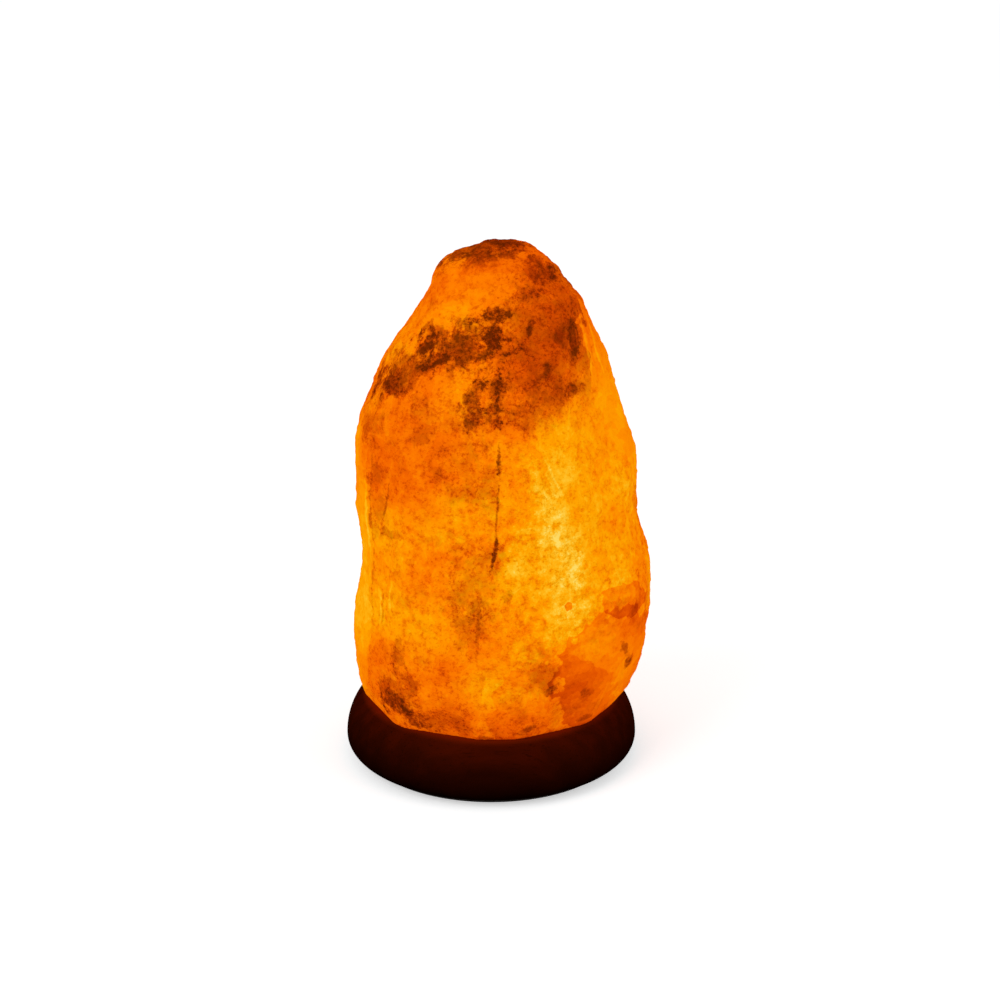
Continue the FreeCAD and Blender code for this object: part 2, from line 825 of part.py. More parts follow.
def make_screw_shell():
    """The holder's threaded brass shell, on a flange that the side rivets hold."""
    bore = thread_root_radius + thread_gap
    top = insert_top + screw_shell_height
    plain = turned(
        "screw_shell_blank",
        [
            (flange_hole_radius, insert_top),
            (screw_shell_radius, insert_top),
            (screw_shell_radius, top),
            (bore, top),
            (bore, insert_top + flange_thickness),
            (flange_hole_radius, insert_top + flange_thickness),
        ],
    )
    for place in (side_rivet_reach, -side_rivet_reach):
        sketch = new_sketch(plain, "XY_Plane", height=insert_top)
        circle_at(sketch, place, rivet_radius + fit_gap)
        extrude(plain, sketch, flange_thickness, cut=True, reverse=True)
    start = bulb_cap_under + thread_round - thread_pitch
    groove = thread_round + thread_gap
    coil = thread_coil("shell_thread", groove, start, thread_pitch * SHELL_THREAD_TURNS)
    shell = doc.addObject("Part::Cut", "screw_shell")
    shell.Label = "screw_shell"
    shell.Base = plain
    shell.Tool = coil
    return shell


def make_bulb_cap():
    """The bulb's metal screw cap, with a plain collar round the neck of the glass."""
    collar_start = bulb_cap_under + cap_thread_height
    plain = turned(
        "bulb_cap_blank",
        [
            (cap_bore_radius, bulb_cap_under),
            (thread_root_radius, bulb_cap_under),
            (thread_root_radius, collar_start),
            (cap_collar_radius, collar_start + (cap_collar_radius - thread_root_radius)),
            (cap_collar_radius, bulb_cap_top),
            (neck_radius + fit_gap, bulb_cap_top),
            (neck_radius + fit_gap, glass_under),
            (cap_bore_radius, glass_under),
        ],
    )
    start = bulb_cap_under + thread_round
    coil = thread_coil("cap_thread", thread_round, start, thread_pitch * CAP_THREAD_TURNS)
    cap = doc.addObject("Part::Fuse", "bulb_cap")
    cap.Label = "bulb_cap"
    cap.Base = plain
    cap.Tool = coil
    return cap


# ---- The bulb ----------------------------------------------------------------------------------

def make_bulb_contact():
    """The solder button under the bulb."""
    half = button_height / 2
    outline = [
        (as_size(0), button_under),
        (button_radius - half, button_under),
        (button_radius, insulator_under),
        (as_size(0), insulator_under),
    ]
    return turned("bulb_contact", outline)


def make_bulb_insulator():
    """The black glass cone between the button and the cap."""
    outline = [
        (as_size(0), insulator_under),
        (button_radius, insulator_under),
        (insulator_radius, bulb_cap_under),
        (cap_bore_radius - fit_gap, bulb_cap_under),
        (cap_bore_radius - fit_gap, bulb_cap_under + insulator_spigot),
        (as_size(0), bulb_cap_under + insulator_spigot),
    ]
    return turned("bulb_insulator", outline)


def bulb_form(radius, neck, top):
    """The outline of the bulb's form, down to the open end of its neck."""
    equator = glass_top - glass_radius
    waist = glass_under + glass_waist_height
    rise = equator - waist
    spread = radius - neck
    shoulder = (rise * rise + spread * spread) / (spread * 2)
    outline = [
        (as_size(0), glass_under),
        (neck, glass_under),
        (neck, waist),
        (radius, equator),
        (as_size(0), top),
    ]
    return outline, {2: shoulder, 3: radius}


def make_bulb_glass():
    """The pear-shaped envelope, a thin wall from the open neck to the round crown."""
    body = turned("bulb_glass", *bulb_form(glass_radius, neck_radius, glass_top))
    inner_top = glass_top - glass_wall
    inside = bulb_form(glass_radius - glass_wall, neck_radius - glass_wall, inner_top)
    sketch = new_sketch(body, "XZ_Plane")
    draw_outline(sketch, *inside)
    revolve(body, sketch, cut=True)
    return body


def make_bulb_stem():
    """The glass mount inside the neck: a flare that narrows to the pinch which holds the leads."""
    inner_neck = neck_radius - glass_wall - fit_gap
    flare_top = glass_under + stem_flare_height
    outline = [
        (as_size(0), glass_under),
        (inner_neck, glass_under),
        (inner_neck, glass_under + stem_rim),
        (stem_pinch_radius, flare_top),
        (stem_pinch_radius, glass_under + stem_height),
        (as_size(0), glass_under + stem_height),
    ]
    return turned("bulb_stem", outline)


def lead_ends(side):
    """Where one lead leaves the pinch and where it meets the filament, on one side."""
    bottom = glass_under.value + stem_height.value + lead_radius.value
    foot = FreeCAD.Vector(side * stem_pinch_radius.value / 2, 0, bottom)
    top = FreeCAD.Vector(side * lead_spread.value, 0, bottom + lead_height.value)
    return foot, top


def make_bulb_leads():
    """Two nickel lead wires that spread from the pinch up to the filament."""
    wires = []
    for side in (-1, 1):
        foot, top = lead_ends(side)
        way = top - foot
        wires.append(Part.makeCylinder(lead_radius.value, way.Length, foot, way))
    leads = doc.addObject("Part::Feature", "bulb_leads")
    leads.Label = "bulb_leads"
    leads.Shape = Part.makeCompound(wires)
    return leads


def make_filament():
    """The coiled filament as its outer envelope, arched between the leads."""
    left, right = (lead_ends(side)[1] for side in (-1, 1))
    lift = FreeCAD.Vector(0, 0, lead_radius.value + filament_radius.value + fit_gap.value)
    start, end = left + lift, right + lift
    crown = (start + end) * 0.5 + FreeCAD.Vector(0, 0, filament_rise.value)
    arch = Part.Arc(start, crown, end)
    along = arch.tangent(arch.FirstParameter)[0]
    ring = Part.Wire([Part.Circle(start, along, filament_radius.value).toShape()])
    filament = doc.addObject("Part::Feature", "filament")
    filament.Label = "filament"
    filament.Shape = Part.Wire([arch.toShape()]).makePipeShell([ring], True, True)
    return filament


NODES = [
    make_felt_ring(),
    make_wood_base(),
    make_salt_crystal(),
    make_rock_plugs(),
    make_rock_screws(),
    make_nipple(),
    make_nipple_nut(),
    make_clip_saddle(),
    make_clip_wing("clip_wing_left", -1),
    make_clip_wing("clip_wing_right", 1),
    make_holder_cap(),
    make_holder_shell(),
    make_contact_insert(),
    make_terminal_blocks(),
    make_terminal_screws(),
    make_contact_rivets(),
    make_centre_contact(),
    make_screw_shell(),
    make_bulb_cap(),
    make_bulb_contact(),
    make_bulb_insulator(),
    make_bulb_glass(),
    make_bulb_stem(),
    make_bulb_leads(),
    make_filament(),
]

doc.recompute()

for item in doc.Objects:
    if "Invalid" in item.State or "Error" in item.State:
        raise RuntimeError(f"{item.Name} failed to build: {item.State}")

os.makedirs("parts", exist_ok=True)
for node in NODES:
    shape = node.Shape
    if shape.isNull() or not shape.isValid() or not shape.Solids:
        raise RuntimeError(f"{node.Label} has no valid solid")
    shape.exportStep(f"parts/{node.Label}.step")
    print(f"{node.Label}: {len(shape.Solids)} solids, {shape.Volume:.1f} mm3")
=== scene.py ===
"""A salt crystal lamp: a hewn block of rock salt on a turned wooden base, lit by a bulb inside it.

The sections follow the lamp as it is put together, from the felt under the base to the bulb, and
the room for the picture comes last. Lengths are in metres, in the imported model's own frame.
"""

import math

import bpy
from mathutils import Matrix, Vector


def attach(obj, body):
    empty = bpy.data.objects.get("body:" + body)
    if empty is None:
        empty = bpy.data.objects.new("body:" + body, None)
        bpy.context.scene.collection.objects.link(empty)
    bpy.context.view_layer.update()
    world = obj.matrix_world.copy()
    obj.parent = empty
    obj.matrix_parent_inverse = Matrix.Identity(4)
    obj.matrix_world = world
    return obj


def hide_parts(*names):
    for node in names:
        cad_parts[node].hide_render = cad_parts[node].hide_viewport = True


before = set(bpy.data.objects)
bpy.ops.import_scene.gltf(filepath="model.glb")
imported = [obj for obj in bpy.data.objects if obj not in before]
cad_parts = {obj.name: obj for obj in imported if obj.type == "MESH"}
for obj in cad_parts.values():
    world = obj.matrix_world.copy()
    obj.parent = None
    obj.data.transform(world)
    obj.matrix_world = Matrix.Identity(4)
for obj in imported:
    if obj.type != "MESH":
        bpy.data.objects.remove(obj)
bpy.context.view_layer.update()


# ---- Felt ring ---------------------------------------------------------------------------------
# A ring of pressed wool felt, 2 mm thick, glued under the base so that it doesn't scratch a table.
# Its cut edge and face are fuzzy and quite matt, with pale fibres lying every way in the dark wool.

MM = 0.001


def linear(hex_colour):
    """An sRGB hex colour as the linear colour that Blender's sockets take."""
    channels = [int(hex_colour[at:at + 2], 16) / 255 for at in (1, 3, 5)]
    return [c / 12.92 if c <= 0.04045 else ((c + 0.055) / 1.055) ** 2.4 for c in channels] + [1.0]


def add(tree, kind, sockets=None, **settings):
    """Adds a node with its settings, and fills or links its sockets, which go by name or number."""
    node = tree.nodes.new("ShaderNode" + kind)
    for name, value in settings.items():
        setattr(node, name, value)
    for socket, value in (sockets or {}).items():
        if isinstance(value, bpy.types.NodeSocket):
            tree.links.new(value, node.inputs[socket])
        else:
            node.inputs[socket].default_value = value
    return node


def finish_named(name):
    """A new material with only its output node, for the finish of that name."""
    material = bpy.data.materials.new(name)
    material.use_nodes = True
    tree = material.node_tree
    tree.nodes.clear()
    output = add(tree, "OutputMaterial")
    return material, tree, output


def ramp(tree, amount, stops):
    """Colours along a ramp. Each stop is its place and its sRGB hex colour."""
    node = add(tree, "ValToRGB", {"Fac": amount})
    band = node.color_ramp
    while len(band.elements) < len(stops):
        band.elements.new(1.0)
    for element, (place, colour) in zip(band.elements, stops):
        element.position = place
        element.color = linear(colour)
    return node.outputs["Color"]


def cover(part, material):
    """Gives a CAD node or a piece one material all over."""
    if not part.material_slots:
        part.data.materials.append(material)
    part.material_slots[0].material = material


felt, tree, output = finish_named("pressed_wool_felt")
place = add(tree, "TexCoord").outputs["Object"]
# Clumps of fibre 0.9 mm across, drawn coarser than the wool's so that they show.
fibres = add(tree, "TexNoise", {
    "Vector": place, "Scale": 1 / (0.9 * MM), "Detail": 5, "Roughness": 0.7,
})
colour = ramp(tree, fibres.outputs["Fac"], [
    (0.30, "#15110f"), (0.62, "#2b2521"), (0.80, "#4a423b"),
])
fuzz = add(tree, "Bump", {"Height": fibres.outputs["Fac"], "Strength": 0.8, "Distance": 0.3 * MM})
cloth = add(tree, "BsdfPrincipled", {
    "Base Color": colour, "Normal": fuzz.outputs["Normal"], "Roughness": 0.95, "Sheen Weight": 0.35,
    "Sheen Roughness": 0.6, "Specular IOR Level": 0.15,
})
tree.links.new(cloth.outputs["BSDF"], output.inputs["Surface"])
cover(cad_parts["felt_ring"], felt)


# ---- Wooden base -------------------------------------------------------------------------------
# Turned from one disc of sheesham, Indian rosewood, stained a red brown so deep that it is nearly
# black, then rubbed with oil. The grain runs across the disc, with short open pores, and the
# turning tool leaves fine rings that catch the light on the side.

SEAT = 27.5 * MM                # the flat top of the base, where the salt stands

sheesham, tree, output = finish_named("stained_oiled_sheesham")
place = add(tree, "TexCoord").outputs["Object"]
# Growth rings show on the top as long bands about 5 mm apart that run along X and wander a little.
wander = add(tree, "TexNoise", {"Vector": place, "Scale": 1 / (45 * MM), "Detail": 3})
along = add(tree, "Mapping", {"Vector": place, "Scale": (0.10, 1.0, 0.55)})
bent = add(tree, "VectorMath", {
    0: wander.outputs["Color"], 1: (0, 20 * MM, 12 * MM),
}, operation="MULTIPLY")
grain_place = add(tree, "VectorMath", {0: along.outputs[0], 1: bent.outputs[0]}, operation="ADD")
bands = add(tree, "TexNoise", {
    "Vector": grain_place.outputs[0], "Scale": 1 / (5 * MM), "Detail": 6, "Roughness": 0.55,
})
mild = add(tree, "MapRange", {"Value": bands.outputs["Fac"], "To Min": 0.25, "To Max": 0.75})
# Open pores are strokes up to 7 mm long, drawn wider than the hair-thin real ones to show.
stroke = add(tree, "Mapping", {"Vector": place, "Scale": (0.12, 1.0, 1.0)})
pores = add(tree, "TexNoise", {"Vector": stroke.outputs[0], "Scale": 1 / (0.8 * MM), "Detail": 2})
pore_depth = add(tree, "MapRange", {
    "Value": pores.outputs["Fac"], "From Min": 0.60, "From Max": 0.72,
})
height = add(tree, "SeparateXYZ", {"Vector": place}).outputs["Z"]
# The colour is darker low on the side and lighter at the rim: painted shade, deepest where the side
# curves under, away from the light.
painted_shade_by_height = add(tree, "MapRange", {
    "Value": height, "From Min": 4 * MM, "From Max": 28 * MM, "To Min": -0.42, "To Max": 0.16,
})
tone = add(tree, "Math", {0: mild.outputs[0], 1: painted_shade_by_height.outputs[0]}, operation="ADD")
inked = add(tree, "Math", {0: pore_depth.outputs[0], 1: -0.16, 2: tone.outputs[0]},
            operation="MULTIPLY_ADD")
colour = ramp(tree, inked.outputs[0], [
    (0.02, "#010000"), (0.30, "#120200"), (0.50, "#260500"), (0.68, "#3c0a00"), (0.86, "#621602"),
])
# On the top, close to the salt, the wood is painted a bright red: a painted pool of the salt's glow
# on the wood.
on_top = add(tree, "MapRange", {
    "Value": height, "From Min": SEAT - 1.5 * MM, "From Max": SEAT - 0.1 * MM,
})
across = add(tree, "VectorMath", {0: place, 1: (1, 1, 0)}, operation="MULTIPLY")
off_axis = add(tree, "VectorMath", {0: across.outputs[0]}, operation="LENGTH")
by_salt = add(tree, "MapRange", {
    "Value": off_axis.outputs["Value"], "From Min": 57 * MM, "From Max": 47 * MM,
    "To Min": 0.0, "To Max": 0.8,
})
painted_salt_glow = add(tree, "Math", {0: on_top.outputs[0], 1: by_salt.outputs[0]}, operation="MULTIPLY")
colour = add(tree, "MixRGB", {
    "Fac": painted_salt_glow.outputs[0], "Color1": colour, "Color2": linear("#9b3000"),
}).outputs["Color"]
# The turning tool's soft rings, drawn coarser than its feed so that they show. A wave texture goes
# round 20 radians in each unit of length, so here its crests lie 2 pi times 0.9 mm apart.
WAVE = 20
rings = add(tree, "TexWave", {
    "Vector": place, "Scale": 1 / (0.9 * MM * WAVE), "Distortion": 0.4, "Detail": 2,
    "Detail Scale": 3.0,
}, wave_type="BANDS", bands_direction="Z")
raised = add(tree, "Math", {0: rings.outputs["Fac"], 1: 0.12}, operation="MULTIPLY")
relief = add(tree, "Math", {0: bands.outputs["Fac"], 1: 0.35, 2: raised.outputs[0]},
             operation="MULTIPLY_ADD")
sunk = add(tree, "Math", {0: pore_depth.outputs[0], 1: -0.5, 2: relief.outputs[0]},
           operation="MULTIPLY_ADD")
bump = add(tree, "Bump", {"Height": sunk.outputs[0], "Strength": 0.35, "Distance": 0.25 * MM})
dullness = add(tree, "MapRange", {
    "Value": bands.outputs["Fac"], "From Min": 0.3, "From Max": 0.7, "To Min": 0.42, "To Max": 0.60,
})
oiled = add(tree, "BsdfPrincipled", {
    "Base Color": colour, "Roughness": dullness.outputs[0], "Normal": bump.outputs["Normal"],
    "Specular IOR Level": 0.0, "IOR": 1.48,
})
# The oil gives a faint red sheen, least at the foot, where it is kept low so that the painted shade
# low on the side stays dark.
sheen = add(tree, "BsdfGlossy", {
    "Color": linear("#a83a14"), "Roughness": dullness.outputs[0], "Normal": bump.outputs["Normal"],
})
sheen_by_height = add(tree, "MapRange", {
    "Value": height, "From Min": 4 * MM, "From Max": 14 * MM, "To Min": 0.002, "To Max": 0.02,
})
rubbed = add(tree, "MixShader", {
    0: sheen_by_height.outputs[0], 1: oiled.outputs["BSDF"], 2: sheen.outputs["BSDF"],
})
tree.links.new(rubbed.outputs[0], output.inputs["Surface"])
cover(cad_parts["wood_base"], sheesham)


# ---- Screws and plugs under the block ----------------------------------------------------------
# Three zinc-plated wood screws come up from deep holes under the base and bite into nylon plugs
# that are set in the salt with resin. Zinc is a cool grey with faint cloudy spangles, nylon a
# waxy white.

zinc, tree, output = finish_named("zinc_plated_steel")
place = add(tree, "TexCoord").outputs["Object"]
spangle = add(tree, "TexNoise", {"Vector": place, "Scale": 1 / (1.5 * MM), "Detail": 3})
colour = ramp(tree, spangle.outputs["Fac"], [(0.35, "#a3a6a8"), (0.65, "#c9cbca")])
dullness = add(tree, "MapRange", {"Value": spangle.outputs["Fac"], "To Min": 0.25, "To Max": 0.48})
plated = add(tree, "BsdfPrincipled", {
    "Base Color": colour, "Metallic": 1.0, "Roughness": dullness.outputs[0],
})
tree.links.new(plated.outputs["BSDF"], output.inputs["Surface"])
cover(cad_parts["rock_screws"], zinc)

nylon, tree, output = finish_named("moulded_nylon")
place = add(tree, "TexCoord").outputs["Object"]
flow = add(tree, "TexNoise", {"Vector": place, "Scale": 1 / (3 * MM), "Detail": 2})
colour = ramp(tree, flow.outputs["Fac"], [(0.3, "#d6d2c4"), (0.7, "#e6e3d8")])
waxy = add(tree, "BsdfPrincipled", {"Base Color": colour, "Roughness": 0.5, "IOR": 1.53})
tree.links.new(waxy.outputs["BSDF"], output.inputs["Surface"])
cover(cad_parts["rock_plugs"], nylon)


# ---- Salt block --------------------------------------------------------------------------------
# One block of Himalayan rock salt, hewn by hand and bored from below. Its faces are flat where
# the axe split them, with chipped steps between, and the whole skin is grainy because salt
# breaks into small cubes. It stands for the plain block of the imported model, and has its form.

CHAMBER = 25 * MM               # radius of the bore for the bulb
CHAMBER_TOP = 117.5 * MM
PLUG_RING = 41 * MM             # out to here and up to here lie the holes for the plugs
PLUG_TOP = SEAT + 26 * MM
MARGIN = 2 * MM                 # the roughness keeps this far from the bore
WELD = 0.002 * MM
SKIN = 1.25 * MM                # spacing of the even skin that carries the roughness
SEAT_EDGE = 43 * MM             # the block's edge round the sawn seat lies outside this radius

cad_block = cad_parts["salt_crystal"]
block = bpy.data.objects.new("hewn_salt_block", cad_block.data.copy())
bpy.context.collection.objects.link(block)
bpy.ops.object.select_all(action="DESELECT")
block.select_set(True)
bpy.context.view_layer.objects.active = block
bpy.ops.object.mode_set(mode="EDIT")
bpy.ops.mesh.select_all(action="SELECT")
bpy.ops.mesh.remove_doubles(threshold=WELD)
bpy.ops.object.mode_set(mode="OBJECT")
fine = block.modifiers.new("even_skin", "REMESH")
fine.mode = "VOXEL"
fine.voxel_size = SKIN
bpy.ops.object.modifier_apply(modifier=fine.name)

# Only the outside is rough: the bored chamber, the plug holes and the sawn seat stay as cut.
outside = block.vertex_groups.new(name="hewn")
for vertex in block.data.vertices:
    x, y, z = vertex.co
    from_axis = math.hypot(x, y)
    bored = from_axis < CHAMBER + MARGIN and z < CHAMBER_TOP + MARGIN
    drilled = from_axis < PLUG_RING and z < PLUG_TOP
    if not bored and not drilled:
        above_seat = (z - SEAT - 0.3 * MM) / (5 * MM)
        outside.add([vertex.index], min(1.0, max(0.0, above_seat)), "REPLACE")

# The edge round the sawn seat is worn smooth.
worn_edge = block.vertex_groups.new(name="worn_edge")
for vertex in block.data.vertices:
    x, y, z = vertex.co
    if math.hypot(x, y) > SEAT_EDGE and z < SEAT + 3 * MM:
        worn_edge.add([vertex.index], 1.0, "REPLACE")
wear = block.modifiers.new("wear", "SMOOTH")
wear.vertex_group = "worn_edge"
wear.factor = 0.5
wear.iterations = 6
bpy.ops.object.modifier_apply(modifier=wear.name)

# The crown is fuller than the plain block's. Each swelling has its middle, its reach and how far
# it pushes out, in millimetres.
SWELLINGS = [((-20, 0, 221), 18, (-2.0, 0, 1.6)), ((20, 0, 217), 17, (2.2, 0, 0.8))]
for middle, reach, push in SWELLINGS:
    middle, push = Vector(middle) * MM, Vector(push) * MM
    for vertex in block.data.vertices:
        away = (vertex.co - middle).length / (reach * MM)
        if away < 1:
            vertex.co += push * (1 - away**2) ** 2

# Each layer of roughness: what it is, its texture, grain size and height in millimetres, and the
# texture's own settings.
ROUGHNESS = [
    ("swell", "CLOUDS", 26.0, 1.6, {"noise_depth": 1}),
    ("chips", "VORONOI", 17.0, 1.5, {"color_mode": "POSITION"}),
    ("steps", "VORONOI", 8.0, 0.75, {"color_mode": "POSITION"}),
    ("lumps", "CLOUDS", 7.0, 1.0, {"noise_depth": 2, "noise_type": "HARD_NOISE"}),
    ("grains", "CLOUDS", 2.4, 0.35, {"noise_depth": 2}),
]
UNMOVED = 0.48                  # the shade of a texture that leaves the skin where it is
for name, kind, grain, rise, settings in ROUGHNESS:
    texture = bpy.data.textures.new("salt_" + name, kind)
    texture.noise_scale = grain * MM
    for setting, value in settings.items():
        setattr(texture, setting, value)
    layer = block.modifiers.new(name, "DISPLACE")
    layer.texture = texture
    layer.texture_coords = "LOCAL"
    layer.vertex_group = "hewn"
    layer.strength = rise * MM
    layer.mid_level = UNMOVED
    bpy.ops.object.modifier_apply(modifier=layer.name)
bpy.ops.object.shade_smooth()

salt, tree, output = finish_named("himalayan_rock_salt")
place = add(tree, "TexCoord").outputs["Object"]
# Impurities lie in wandering sheets. Everything below is placed on coordinates that lean with
# those sheets, 20.5 degrees back from upright: X across, then depth, then height up the sheet.
LEAN = math.radians(20.5)
HALFWAY_UP = 114.3 * MM         # the height on the axis from which places up the sheets are counted
drift = add(tree, "TexNoise", {
    "Vector": place, "Scale": 1 / (22 * MM), "Detail": 6, "Roughness": 0.62,
})
level = add(tree, "VectorMath", {
    0: drift.outputs["Color"], 1: (0.5, 0.5, 0.5),
}, operation="SUBTRACT")


def leaning(wander):
    """Coordinates that lean with the sheets and wander by about a tenth of so many millimetres."""
    push = add(tree, "VectorMath", {
        0: level.outputs[0], 1: (wander * MM, wander * MM, wander * MM), 2: place,
    }, operation="MULTIPLY_ADD")
    return add(tree, "Mapping", {
        "Vector": push.outputs[0], "Rotation": (LEAN, 0, 0),
        "Location": (0, 0, -HALFWAY_UP * math.cos(LEAN)),
    }).outputs[0]


sheets = leaning(9)
upright = leaning(6)

# The mottling of the salt, at three sizes: clouds of clay, coarse crystals and fine grains.
clouds = add(tree, "TexNoise", {
    "Vector": sheets, "Scale": 1 / (9 * MM), "Detail": 10, "Roughness": 0.70,
})
crystals = add(tree, "TexNoise", {
    "Vector": place, "Scale": 1 / (4.2 * MM), "Detail": 8, "Roughness": 0.72,
})
grains = add(tree, "TexNoise", {
    "Vector": place, "Scale": 1 / (1.3 * MM), "Detail": 4, "Roughness": 0.75,
})
speckle = add(tree, "Math", {0: grains.outputs["Fac"], 1: 0.55, 2: crystals.outputs["Fac"]},
              operation="MULTIPLY_ADD").outputs[0]
# Clay spreads in blots about 7 mm wide with a grainy rim, and flakes break off in small bites.
blots = add(tree, "TexNoise", {
    "Vector": sheets, "Scale": 1 / (7 * MM), "Detail": 6, "Roughness": 0.60,
})
blots = add(tree, "Math", {0: grains.outputs["Fac"], 1: 0.22, 2: blots.outputs["Fac"]},
            operation="MULTIPLY_ADD").outputs[0]
bites = add(tree, "TexVoronoi", {"Vector": sheets, "Scale": 1 / (8 * MM), "Detail": 1})
bites = add(tree, "Math", {0: speckle, 1: 0.5, 2: bites.outputs["Distance"]},
            operation="MULTIPLY_ADD").outputs[0]

# The bulb lights the block from inside: brightest level with the bulb, fading up to the crown.
BULB_HEIGHT = 78 * MM
to_bulb = add(tree, "VectorMath", {0: place, 1: (0, 0, BULB_HEIGHT)}, operation="DISTANCE")
glow = add(tree, "MapRange", {
    "Value": to_bulb.outputs["Value"], "From Min": 50 * MM, "From Max": 150 * MM,
    "To Min": 0.56, "To Max": 0.44,
})

